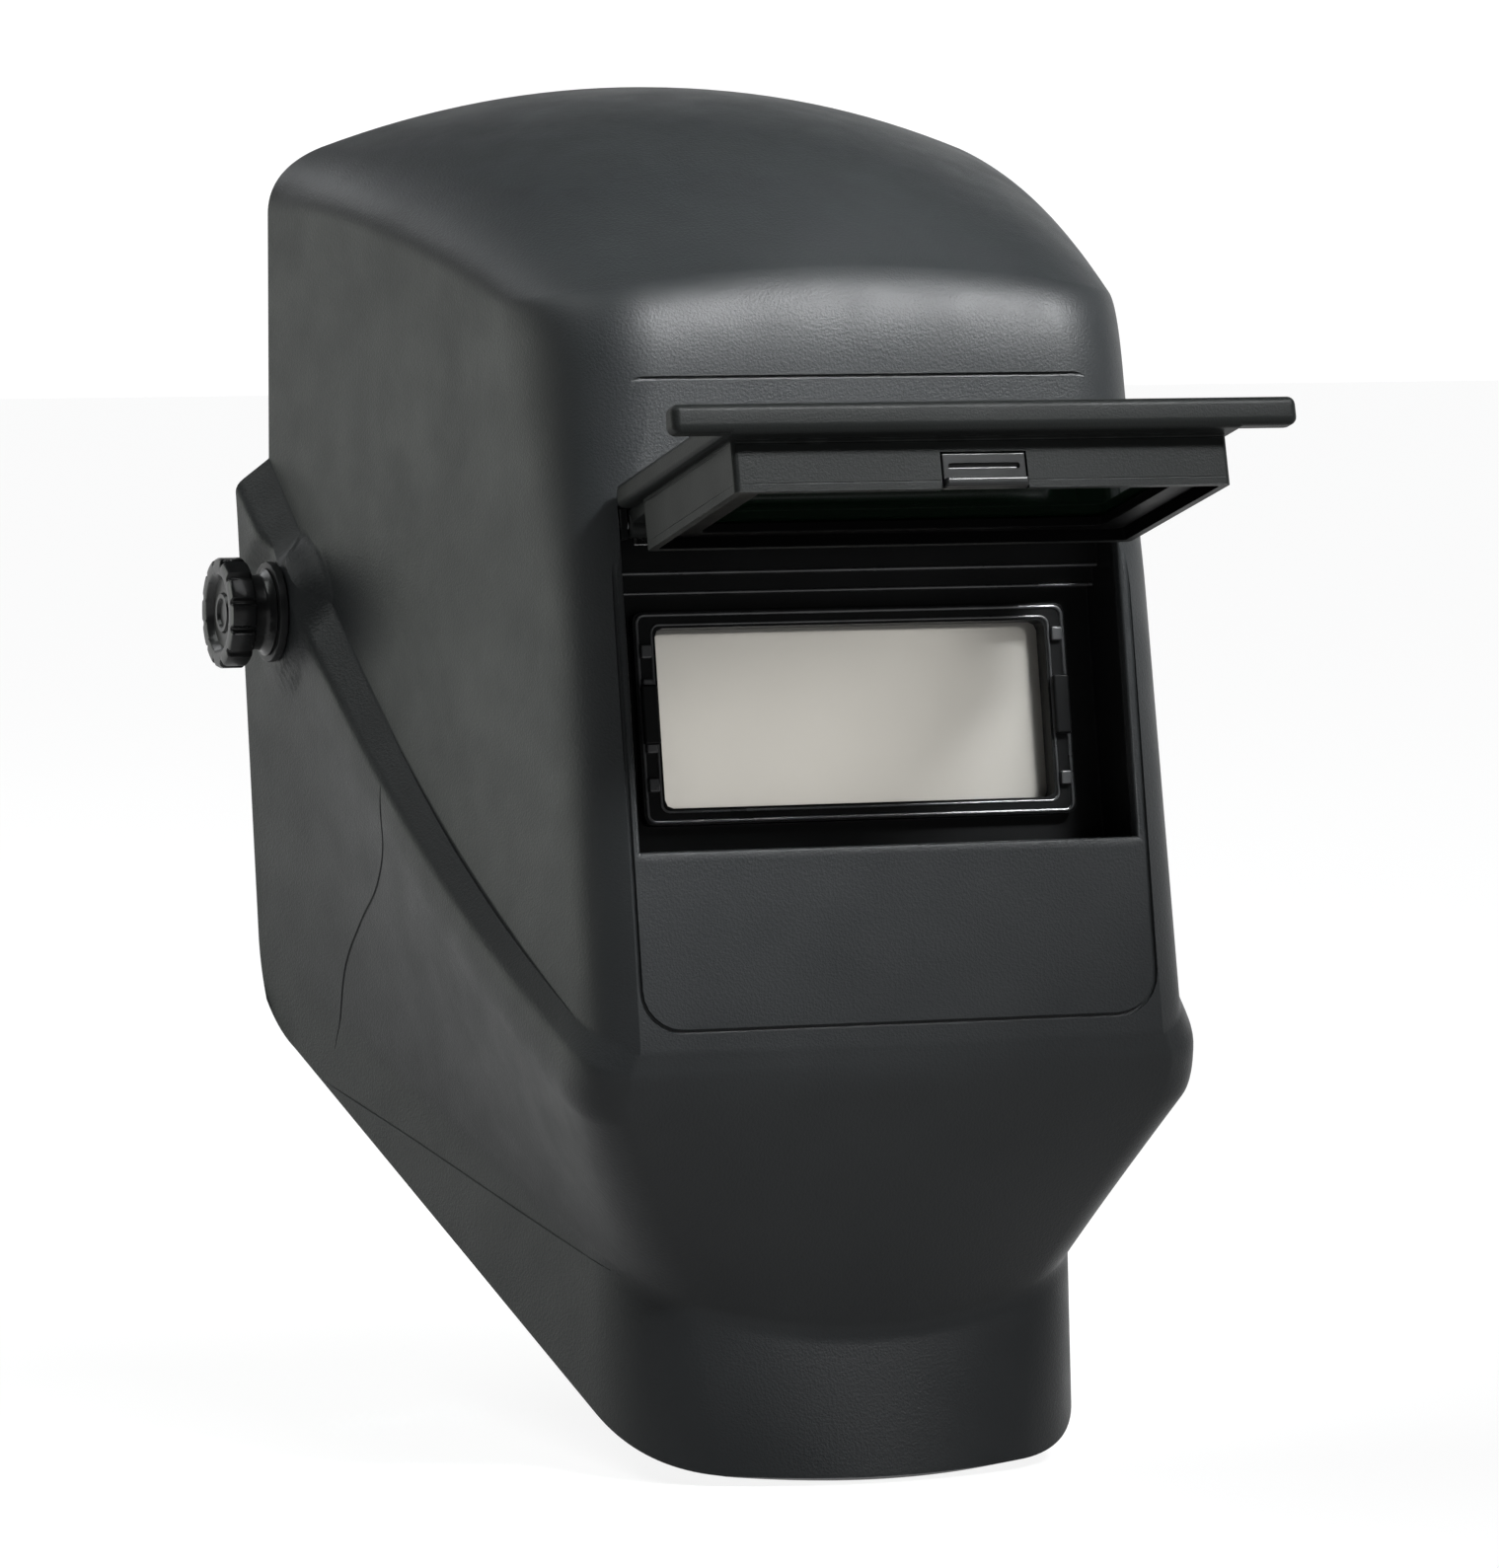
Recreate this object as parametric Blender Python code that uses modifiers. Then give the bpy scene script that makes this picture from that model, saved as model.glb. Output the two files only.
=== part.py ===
"""Lift-front welding helmet: moulded shell, hinged filter holder and ratchet headgear.

Metres, +Z up. The wearer looks along -Y and +X is the wearer's left. The origin lies midway between
the two temple pivots, on the axis that the shell tilts about.
"""

import math

import bmesh
import bpy
from mathutils import Matrix, Vector

MM = 0.001

# Face plate and window recess, in the leaning face's own frame: x across, y inward, z up along it.
FACE_AHEAD = 144.6 * MM  # face plane ahead of the pivot axis, at the pivot's height
FACE_LEAN = math.atan(0.187)
WALL = 3.0 * MM
GAP = 0.3 * MM
WINDOW_HALF = 61.3 * MM
WINDOW_LOW = -47.8 * MM
WINDOW_HIGH = 32.0 * MM
PLATE_LENGTH = 108.0 * MM  # the standard 2 x 4 1/4 inch plate
PLATE_HEIGHT = 50.8 * MM
SIGHT_HALF = 48.5 * MM
SIGHT_HEIGHT = 41.8 * MM
SIGHT_MID = -15.5 * MM
TRAY_DEPTH = 20.0 * MM
TRAY_BACK = 2.0 * MM
TRAY_SIDE = 2.0 * MM
SAFETY_PLATE_THICK = 2.0 * MM
RETAINER_THICK = 4.4 * MM
SCREW_ACROSS = 58.3 * MM
SCREW_SPREAD = 15.0 * MM
LATCH_HALF = 10.0

# Lift front, in its own frame: origin on the hinge pin, -y out towards the grip lip, z through it.
HINGE_IN = 2.5 * MM
HINGE_UP = 27.6 * MM
RAISED_PITCH = math.radians(15.3)
BOX_NEAR = 13.55 * MM
BOX_LENGTH = 60.2 * MM
BOX_HALF = 59.6 * MM
BOX_DEPTH = 11.9 * MM
COVER_UNDER = 2.8 * MM
COVER_THICK = 5.7 * MM
COVER_NEAR = 3.8 * MM
COVER_HALF = 62.4 * MM
LIP_HALF = 75.0 * MM
LIP_REACH = 6.0 * MM
BOX_WALL = 2.0 * MM
PIN_RADIUS = 1.25 * MM
PIN_BORE = 1.55 * MM
KNUCKLE_RADIUS = 3.0 * MM

# Temple pivots, measured outward from the middle plane.
PIVOT_SEAT = 100.4 * MM
PIVOT_INNER = 96.6 * MM
STUD_RADIUS = 3.6
STUD_BORE = 4.2 * MM  # hole in the shell round each stud
BOSS_RADIUS = 15.5 * MM
WASHER_BORE = 4.1
BRACKET_INNER = 79.4 * MM
BRACKET_OUTER = 83.4 * MM
RIVET_HEIGHTS = (("upper", 35.5 * MM), ("lower", 24.5 * MM))
RIVET_BORE = 1.9 * MM
SIDES = (("left", 1), ("right", -1))

# Headgear.
BAND_HALF = 78.0 * MM
BAND_AHEAD = 84.0 * MM
BAND_BEHIND = 116.0 * MM
BAND_THICK = 2.0 * MM
CROWN_TOP = 110.0 * MM
STRAP_Y = -19.5 * MM
STRAP_WIDTH = 21.0 * MM
STRAP_THICK = 1.8 * MM
NAPE_HEIGHT = 20.0 * MM
HOUSING_HALF = 23.0 * MM
PINION_TEETH = 14

# Loft stations of the right half of the shell, in millimetres, from the chin edge up over the brow to
# the rear arch. Each has the middle line (y, z), the sharp front corner (x, y, z), the rear edge
# (x, y, z), how far the corner's rounding runs along the front and along the side, and how far the
# side line bows down between its ends.
CHIN_EDGE = ((-152, -194), (54.8, -136, -192), (97, 24, -99), 22, 26, 0)
NECK = ((-140, -162), (55, -132, -150), (97.5, 24, -84), 20, 26, 0)
CHEEK = ((-162.5, -101), (76.5, -158, -106), (104.6, 19, 30), 14, 26, 14)
FOLD = ((-161.9, -92.5), (72.5, -161.8, -92), (96.6, 17, 36.5), 8, 26, 14)
BROW = ((-129.6, 80), (71, -130.4, 76), (96.6, 17, 68), 7, 29, 0)
REAR_ARCH = ((17, 127), (96.6, 17, 107), (96.6, 17, 92.5), 14, 11, 0)
DOME_CROWN = (-70, 127)
DOME_SHOULDER = (82.5, -62, 100)
DOME_RUNS = (24, 26, 0)
BROW_SOFTNESS = 0.12  # share of the way to the crown over which the brow is rounded

for old in list(bpy.data.objects):
    bpy.data.objects.remove(old)

HELMET = bpy.data.collections.new("welding_helmet")
CUTTERS = bpy.data.collections.new("cutters")
bpy.context.scene.collection.children.link(HELMET)
bpy.context.scene.collection.children.link(CUTTERS)


def material(name, colour, roughness, metallic=0.0, transmission=0.0):
    made = bpy.data.materials.new(name)
    made.use_nodes = True
    shader = made.node_tree.nodes["Principled BSDF"]
    shader.inputs["Base Color"].default_value = (*colour, 1.0)
    shader.inputs["Roughness"].default_value = roughness
    shader.inputs["Metallic"].default_value = metallic
    shader.inputs["Transmission Weight"].default_value = transmission
    return made


SHELL_NYLON = material("shell_nylon", (0.045, 0.052, 0.055), 0.48)
GLOSS_NYLON = material("gloss_black_nylon", (0.012, 0.012, 0.013), 0.25)
TRAY_NYLON = material("tray_nylon", (0.010, 0.011, 0.011), 0.40)
CLEAR_PLATE = material("clear_polycarbonate", (0.72, 0.71, 0.67), 0.15, transmission=0.4)
FILTER_GLASS = material("shade_10_filter_glass", (0.010, 0.035, 0.014), 0.08)
GASKET_RUBBER = material("gasket_rubber", (0.020, 0.020, 0.020), 0.80)
SPRING_STEEL = material("spring_steel", (0.55, 0.55, 0.56), 0.30, metallic=1.0)
ZINC_STEEL = material("zinc_plated_steel", (0.60, 0.61, 0.62), 0.35, metallic=1.0)
BAND_PLASTIC = material("headband_polyethylene", (0.030, 0.031, 0.033), 0.50)
SWEAT_CLOTH = material("sweatband_terry", (0.110, 0.115, 0.125), 0.95)
FIBRE = material("fibre_washer", (0.09, 0.055, 0.03), 0.70)


def vec(x, y, z):
    """A point given in millimetres."""
    return (x * MM, y * MM, z * MM)


def frame(name, parent=None, location=(0, 0, 0), tilt=0.0):
    """An empty that stands for a joint or a leaning frame; its children are modelled in it."""
    empty = bpy.data.objects.new(name, None)
    empty.empty_display_size = 0.01
    empty.parent = parent
    empty.location = location
    empty.rotation_euler = (tilt, 0, 0)
    HELMET.objects.link(empty)
    return empty


def place(name, mesh, parent, look=None):
    """A named part, or a cutter when it has no material."""
    made = bpy.data.objects.new(name, mesh)
    made.parent = parent
    if look:
        mesh.materials.append(look)
        HELMET.objects.link(made)
    else:
        made.hide_render = True
        made.display_type = "WIRE"
        CUTTERS.objects.link(made)
    return made


def mesh_from(work, name):
    bmesh.ops.recalc_face_normals(work, faces=work.faces)
    mesh = bpy.data.meshes.new(name)
    work.to_mesh(mesh)
    work.free()
    return mesh


def box_mesh(name, low, high, rounding=0.0, axis=None, segments=2):
    """A box between two corners. The edges along an axis, or all of them, can be rounded."""
    work = bmesh.new()
    bmesh.ops.create_cube(work, size=1.0)
    low, high = Vector(low), Vector(high)
    for vert in work.verts:
        vert.co = (low + high) / 2 + Vector(c * s for c, s in zip(vert.co, high - low))
    if rounding:
        edges = list(work.edges)
        if axis is not None:
            edges = [e for e in edges if abs((e.verts[1].co - e.verts[0].co)[axis]) > 1e-7]
        bmesh.ops.bevel(work, geom=edges, offset=rounding, segments=segments, profile=0.5, affect="EDGES")
    return mesh_from(work, name)


def box(name, parent, look, low, high, rounding=0.0, axis=None, segments=2):
    return place(name, box_mesh(name, low, high, rounding, axis, segments), parent, look)


def rod_mesh(name, radius, start, end, sides=24, rounding=0.0):
    """A cylinder along X from start to end, centred on the frame's X axis."""
    work = bmesh.new()
    turn = Matrix.Rotation(math.pi / 2, 4, "Y")
    shift = Matrix.Translation(((start + end) / 2, 0, 0))
    bmesh.ops.create_cone(
        work,
        cap_ends=True,
        segments=sides,
        radius1=radius,
        radius2=radius,
        depth=end - start,
        matrix=shift @ turn,
    )
    if rounding:
        rims = [e for e in work.edges if abs(e.verts[0].co.x - e.verts[1].co.x) < 1e-7]
        bmesh.ops.bevel(work, geom=rims, offset=rounding, segments=2, profile=0.5, affect="EDGES")
    return mesh_from(work, name)


def rod(name, parent, look, radius, start, end, at=(0, 0), sides=24, rounding=0.0):
    made = place(name, rod_mesh(name, radius, start, end, sides, rounding), parent, look)
    made.location = (0, *at)
    if look:
        smooth(made)
    return made


def turned(name, parent, look, profile, steps=32):
    """A solid of revolution about the frame's X axis, from (radius, x) points ordered +x to -x."""
    mesh = bpy.data.meshes.new(name)
    points = [(radius, 0, along) for radius, along in profile]
    mesh.from_pydata(points, [(i, i + 1) for i in range(len(points) - 1)], [])
    made = place(name, mesh, parent, look)
    screw = made.modifiers.new("turn", "SCREW")
    screw.axis = "Z"
    screw.steps = screw.render_steps = steps
    screw.use_merge_vertices = True
    screw.merge_threshold = 0.00001
    made.rotation_euler = (0, math.pi / 2, 0)
    smooth(made)
    return made


def smooth(made, angle=35):
    made.data.shade_smooth()
    weighted = made.modifiers.new("smooth", "WEIGHTED_NORMAL")
    weighted.keep_sharp = True
    made.data.set_sharp_from_angle(angle=math.radians(angle))


def combine(target, other, operation):
    step = target.modifiers.new(other.name, "BOOLEAN")
    step.object = other
    step.operation = operation
    step.solver = "EXACT"


def cut(target, *others):
    for other in others:
        combine(target, other, "DIFFERENCE")


def join(target, *others):
    for other in others:
        combine(target, other, "UNION")


def ribbon(name, parent, look, route, heights, thick):
    """A strap: an open strip that stands on a route of points, thickened with Solidify."""
    work = bmesh.new()
    rows = []
    for point, height in zip(route, heights):
        up = Vector((0, 0, height))
        rows.append([work.verts.new(Vector(point) + up * side) for side in (-0.5, 0.5)])
    for near, far in zip(rows, rows[1:]):
        work.faces.new((near[0], far[0], far[1], near[1]))
    made = place(name, mesh_from(work, name), parent, look)
    shell = made.modifiers.new("thickness", "SOLIDIFY")
    shell.thickness = thick
    shell.offset = 0
    shell.use_even_offset = True
    smooth(made)
    return made


def block(name, parent, low, high, rounding=0.0, axis=None):
    """A box that only cuts or is joined on."""
    return place(name, box_mesh(name, low, high, rounding, axis), parent)


def round_bar(name, parent, radius, near, far, at=(0, 0), sides=12, axis="Z"):
    """A cylinder along Y or Z that only cuts, centred on a point of the other two axes."""
    turn = Matrix.Identity(4) if axis == "Z" else Matrix.Rotation(math.pi / 2, 4, "X")
    middle = (near + far) / 2
    centre = (*at, middle) if axis == "Z" else (at[0], middle, at[1])
    work = bmesh.new()
    bmesh.ops.create_cone(
        work,
        cap_ends=True,
        segments=sides,
        radius1=radius,
        radius2=radius,
        depth=far - near,
        matrix=Matrix.Translation(centre) @ turn,
    )
    return place(name, mesh_from(work, name), parent)


def span(sign, near, far):
    """Two distances from the middle plane, on one side of it, in ascending order."""
    return sorted((sign * near, sign * far))


# ---------------------------------------------------------------- shell


def bezier(start, middle, end, t):
    return start * (1 - t) ** 2 + middle * 2 * t * (1 - t) + end * t**2


def fractions(count):
    return [i / count for i in range(count)]


def bowed(point, corner, rear, sag):
    """A point of the side line, lowered by the bow of that line between the front corner and the rear."""
    along = (point.y - corner.y) / (rear.y - corner.y) if sag else 0
    return point - Vector((0, 0, sag * math.sin(math.pi * min(1.0, max(0.0, along)))))


def column_points(middle, corner, rear, front_run, side_run, sag, counts):
    """One section of the half shell: a crowned front, a rounded corner and a bowed side."""
    front_count, round_count, side_count = counts
    crown = Vector((corner.x / 2, middle.y, middle.z))
    stop = 1 - front_run / (corner - middle).length
    leave = bezier(middle, crown, corner, stop)
    land = corner + (rear - corner).normalized() * side_run
    points = [bezier(middle, crown, corner, stop * t) for t in fractions(front_count)]
    side = [bezier(leave, corner, land, t) for t in fractions(round_count)]
    side += [land.lerp(rear, t) for t in fractions(side_count)]
    return points + [bowed(point, corner, rear, sag) for point in side] + [rear]


def station(numbers):
    middle, corner, rear, *runs = numbers
    values = [Vector((0, *middle)) * MM, Vector(corner) * MM, Vector(rear) * MM]
    return values + [Vector((run * MM, 0, 0)) for run in runs]


def rounded_step(before, here, after, back, ahead, count):
    """Rows that round a station off, from a distance before it to a distance after it."""
    rows = []
    for i in range(count + 1):
        row = []
        for a, b, c in zip(before, here, after):
            row.append(bezier(b.lerp(a, back), b, b.lerp(c, ahead), i / count))
        rows.append(row)
    return rows


def straight_rows(start, end, count):
    return [[a.lerp(b, i / count) for a, b in zip(start, end)] for i in range(1, count)]


def shell_rows(detail):
    """Every section of the shell, as station values, from the chin edge to the rear arch."""
    chin, neck, cheek, fold, brow, arch = map(station, (CHIN_EDGE, NECK, CHEEK, FOLD, BROW, REAR_ARCH))
    crown = [Vector((0, *DOME_CROWN)) * MM, Vector(DOME_SHOULDER) * MM, brow[2].lerp(arch[2], 0.5)]
    crown += [Vector((run * MM, 0, 0)) for run in DOME_RUNS]
    at_neck = rounded_step(chin, neck, cheek, 0.30, 0.14, 2 * detail)
    at_cheek = rounded_step(neck, cheek, fold, 0.10, 0.45, 2 * detail)
    at_fold = rounded_step(cheek, fold, brow, 0.45, 0.035, 2 * detail)
    at_brow = rounded_step(fold, brow, crown, 0.055, BROW_SOFTNESS, 3 * detail)
    dome = []
    for i in range(1, 7 * detail + 1):
        t = BROW_SOFTNESS / 2 + (1 - BROW_SOFTNESS / 2) * i / (7 * detail)
        dome.append([bezier(a, b, c, t) for a, b, c in zip(brow, crown, arch)])
    rows = [chin] + straight_rows(chin, at_neck[0], detail) + at_neck
    rows += straight_rows(at_neck[-1], at_cheek[0], 3 * detail) + at_cheek + at_fold
    rows += straight_rows(at_fold[-1], at_brow[0], 3 * detail) + at_brow + dome
    return rows


def shell_surface(name, detail):
    """The right half of the outer surface, lofted through the sections and open at the middle."""
    counts = (4 * detail, 4 * detail, 5 * detail)
    work = bmesh.new()
    grid = []
    for values in shell_rows(detail):
        runs = [value.x for value in values[3:]]
        points = column_points(*values[:3], *runs, counts)
        grid.append([work.verts.new(point) for point in points])
    for low, high in zip(grid, grid[1:]):
        for i in range(len(low) - 1):
            work.faces.new((low[i], low[i + 1], high[i + 1], high[i]))
    mesh = bpy.data.meshes.new(name)
    work.to_mesh(mesh)
    work.free()
    return mesh


def pivot_seats(shell, pivot):
    """Round bosses for the tension knobs, faced flat inside and out, each with its stud hole."""
    for side, sign in SIDES:
        seat = span(sign, PIVOT_INNER - WALL - 0.1 * MM, PIVOT_SEAT)
        join(shell, rod(f"pivot_boss_{side}", pivot, None, BOSS_RADIUS, *seat, sides=32))
    for side, sign in SIDES:
        inside = span(sign, PIVOT_INNER - 12.6 * MM, PIVOT_INNER)
        outside = span(sign, PIVOT_SEAT, PIVOT_SEAT + 11.6 * MM)
        cut(
            shell,
            rod(f"pivot_inner_face_{side}", pivot, None, BOSS_RADIUS - 2 * MM, *inside, sides=32),
            rod(f"pivot_outer_face_{side}", pivot, None, BOSS_RADIUS + 0.5 * MM, *outside, sides=32),
        )
    cut(shell, rod("stud_holes", pivot, None, STUD_BORE, -120 * MM, 120 * MM))


def rear_corner_cutter(pivot):
    """A bar across the helmet that rounds off the lower rear corner of the shell's edge."""
    corner = Vector((24 * MM, -99 * MM))
    along_edge = Vector((-160, -93)).normalized()
    run = 17 * MM
    start = corner + Vector((0, run))
    end = corner + along_edge * run
    outline = [start * (1 - t) ** 2 + corner * 2 * t * (1 - t) + end * t**2 for t in fractions(8)]
    outline += [end, end + along_edge * 6 * MM + Vector((0, -3 * MM)), Vector((10, -140)) * MM]
    outline += [Vector((40, -140)) * MM, Vector((40 * MM, start.y + 8 * MM)), start + Vector((2, 8)) * MM]
    work = bmesh.new()
    face = work.faces.new([work.verts.new((-130 * MM, *point)) for point in outline])
    swept = bmesh.ops.extrude_face_region(work, geom=[face])
    moved = [v for v in swept["geom"] if isinstance(v, bmesh.types.BMVert)]
    bmesh.ops.translate(work, verts=moved, vec=(260 * MM, 0, 0))
    return place("rear_corner", mesh_from(work, "rear_corner"), pivot)


def helmet_shell(pivot, face):
    mesh = shell_surface("helmet_shell", 1)
    shell = place("helmet_shell", mesh, pivot, SHELL_NYLON)
    mirror = shell.modifiers.new("mirror", "MIRROR")
    mirror.merge_threshold = 0.00001
    wall = shell.modifiers.new("wall", "SOLIDIFY")
    wall.thickness = WALL
    wall.offset = -1
    wall.use_even_offset = True
    low = (-WINDOW_HALF, -10 * MM, WINDOW_LOW)
    high = (WINDOW_HALF, 10 * MM, WINDOW_HIGH)
    cut(shell, block("window", face, low, high, 0.8 * MM, 1))
    relief_low = (-11 * MM, -10 * MM, WINDOW_LOW - 1.0 * MM)
    relief_high = (11 * MM, 10 * MM, WINDOW_LOW + 1.0 * MM)
    cut(shell, block("latch_relief", face, relief_low, relief_high))
    cut(shell, rear_corner_cutter(pivot))
    pivot_seats(shell, pivot)
    smooth(shell, 30)
    return shell


# ---------------------------------------------------------------- window tray


def window_box(name, face, half, height, near, far, rounding=0.0):
    """A cutter or block centred on the sight window: half-width, height, and depths inward."""
    low = (-half, near, SIGHT_MID - height / 2)
    high = (half, far, SIGHT_MID + height / 2)
    return block(name, face, low, high, rounding, 1)


def lens_tray(face):
    """The box behind the window opening, with the raised frame round the fixed plate."""
    side = TRAY_SIDE
    back = TRAY_DEPTH + TRAY_BACK
    low = (-WINDOW_HALF - side, WALL + GAP, WINDOW_LOW - side)
    high = (WINDOW_HALF + side, back, WINDOW_HIGH + side)
    tray = box("lens_tray", face, TRAY_NYLON, low, high, 2.5 * MM, 1)
    pocket_low = (-WINDOW_HALF, 0, WINDOW_LOW)
    pocket_high = (WINDOW_HALF, TRAY_DEPTH, WINDOW_HIGH)
    cut(tray, block("tray_pocket", face, pocket_low, pocket_high, 1.5 * MM, 1))
    join(tray, window_box("sight_frame", face, 53.75 * MM, 49.5 * MM, 17 * MM, 21 * MM, 2 * MM))
    for step, (reach, rise) in enumerate(((16 * MM, 13.4 * MM), (12.5 * MM, 17.6 * MM))):
        low = (-WINDOW_HALF - 1 * MM, reach, rise)
        high = (WINDOW_HALF + 1 * MM, TRAY_DEPTH + 1 * MM, WINDOW_HIGH + 1 * MM)
        join(tray, block(f"tray_step_{step}", face, low, high))
    for side_name, sign in SIDES:
        ends = span(sign, 59.4 * MM, WINDOW_HALF - GAP)
        low = (ends[0], 0.4 * MM, HINGE_UP - 3.4 * MM)
        high = (ends[1], TRAY_DEPTH + 0.5 * MM, HINGE_UP + 3.4 * MM)
        join(tray, block(f"hinge_lug_{side_name}", face, low, high))
    cut(tray, window_box("sight_opening", face, SIGHT_HALF, SIGHT_HEIGHT, 10 * MM, 30 * MM, 2 * MM))
    slot_low = (-11 * MM, 8 * MM, WINDOW_LOW - 5 * MM)
    slot_high = (11 * MM, 14 * MM, WINDOW_LOW + 1 * MM)
    cut(tray, block("latch_slot", face, slot_low, slot_high))
    bore = rod("hinge_pin_bore", face, None, PIN_BORE, -61.2 * MM, 61.2 * MM, (HINGE_IN, HINGE_UP), 12)
    cut(tray, bore)
    for name, x, z in screw_places():
        cut(tray, round_bar(f"{name}_pilot", face, 1.4 * MM, 20.8 * MM, 24 * MM, (x, z), axis="Y"))


def screw_places():
    places = []
    for number, (x, z) in enumerate(((-1, -1), (1, -1), (-1, 1), (1, 1)), 1):
        places.append((f"retainer_screw_{number}", x * SCREW_ACROSS, SIGHT_MID + z * SCREW_SPREAD))
    return places


def fixed_plate_parts(face):
    """The clear plate behind the tray, the retainer that cups it, its screws and its two side clips."""
    front = TRAY_DEPTH + TRAY_BACK + GAP
    plate_low = (-53.6 * MM, front, SIGHT_MID - 24.8 * MM)
    plate_high = (53.6 * MM, front + SAFETY_PLATE_THICK, SIGHT_MID + 24.8 * MM)
    box("safety_plate", face, CLEAR_PLATE, plate_low, plate_high, 1.5 * MM, 1)
    rear = front + RETAINER_THICK
    low = (-62.5 * MM, front, SIGHT_MID - 28 * MM)
    high = (62.5 * MM, rear, SIGHT_MID + 28 * MM)
    retainer = box("plate_retainer", face, TRAY_NYLON, low, high, 3 * MM, 1)
    pocket_far = front + SAFETY_PLATE_THICK + GAP
    cut(retainer, window_box("retainer_pocket", face, 54.1 * MM, 50.4 * MM, front - MM, pocket_far))
    cut(retainer, window_box("retainer_sight", face, 47 * MM, 40.4 * MM, front, rear + 4 * MM, 2 * MM))
    for name, x, z in screw_places():
        hole = round_bar(f"{name}_hole", face, 1.6 * MM, front - MM, rear + MM, (x, z), axis="Y")
        cut(retainer, hole)
        head = 1.6 * MM
        profile = [
            (0, rear + GAP + head),
            (1.6 * MM, rear + GAP + head),
            (2.6 * MM, rear + GAP + 0.6 * MM),
            (2.6 * MM, rear + GAP),
            (1.1 * MM, rear + GAP),
            (1.1 * MM, 21.2 * MM),
            (0, 21.2 * MM),
        ]
        screw = turned(name, face, ZINC_STEEL, profile, 16)
        screw.rotation_euler = (-math.pi / 2, 0, 0)
        screw.location = (x, 0, z)
    for side, sign in SIDES:
        ends = span(sign, 49.2 * MM, 53.2 * MM)
        low = (ends[0], 15.0 * MM, SIGHT_MID - 7 * MM)
        high = (ends[1], 17 * MM - GAP, SIGHT_MID + 7 * MM)
        clip = box(f"plate_clip_{side}", face, TRAY_NYLON, low, high, 0.6 * MM)
        clip.location.z = 0.8 * MM


def detent_springs(face):
    """A bent leaf at each side of the tray's roof that presses on the lift front's knuckle."""
    for side, sign in SIDES:
        mid = sign * 52 * MM
        route = [(6.3, 23.4), (7.2, 25.6), (7.4, 28.0), (8.6, 29.6), (11.6, 30.2)]
        work = bmesh.new()
        rows = []
        for y, z in route:
            rows.append([work.verts.new((mid + dx * MM, y * MM, z * MM)) for dx in (-4, 4)])
        for near, far in zip(rows, rows[1:]):
            work.faces.new((near[0], near[1], far[1], far[0]))
        name = f"detent_spring_{side}"
        leaf = place(name, mesh_from(work, name), face, SPRING_STEEL)
        thick = leaf.modifiers.new("thickness", "SOLIDIFY")
        thick.thickness = 0.5 * MM
        thick.offset = 0
        smooth(leaf)


# ---------------------------------------------------------------- lift front


def lift_box(name, lift, half, near, far, top, bottom, rounding=0.0, axis=1):
    """A block in the lift front's frame, from near to far along it and from bottom to top."""
    return block(name, lift, (-half, -far, bottom), (half, -near, top), rounding, axis)


def lift_front_frame(lift):
    box_far = BOX_NEAR + BOX_LENGTH
    cover_far = box_far + LIP_REACH
    top = COVER_UNDER + COVER_THICK
    bottom = COVER_UNDER - BOX_DEPTH
    low = (-COVER_HALF, -cover_far, COVER_UNDER)
    high = (COVER_HALF, -COVER_NEAR, top)
    cover = box("lift_front_frame", lift, SHELL_NYLON, low, high, 1.2 * MM)
    lip_low = (-LIP_HALF, -cover_far - 0.4 * MM, COVER_UNDER)
    lip_high = (LIP_HALF, -box_far - 0.2 * MM, top + 0.3 * MM)
    join(cover, block("grip_lip", lift, lip_low, lip_high, 1.6 * MM))
    join(cover, lift_box("filter_box", lift, BOX_HALF, BOX_NEAR, box_far, COVER_UNDER + MM, bottom))
    web = lift_box("hinge_web", lift, 58.6 * MM, 0, BOX_NEAR + MM, COVER_UNDER + 0.4 * MM, 0)
    knuckle = rod("hinge_knuckle", lift, None, KNUCKLE_RADIUS, -58.8 * MM, 58.8 * MM, sides=20)
    join(cover, web, knuckle)
    inside = (BOX_HALF - BOX_WALL, BOX_NEAR + BOX_WALL, box_far - BOX_WALL)
    cut(cover, lift_box("filter_pocket", lift, *inside, COVER_UNDER, bottom - MM))
    mid = BOX_NEAR + BOX_LENGTH / 2
    sight = (SIGHT_HALF + 0.5 * MM, mid - SIGHT_HEIGHT / 2, mid + SIGHT_HEIGHT / 2)
    cut(cover, lift_box("cover_sight", lift, *sight, top + MM, 0, 2 * MM, 2))
    cut(cover, rod("knuckle_bore", lift, None, PIN_BORE, -70 * MM, 70 * MM, sides=12))
    cut(cover, lift_box("latch_notch", lift, 10.4 * MM, box_far - 3 * MM, box_far + MM, -0.7 * MM, -12 * MM))


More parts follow.
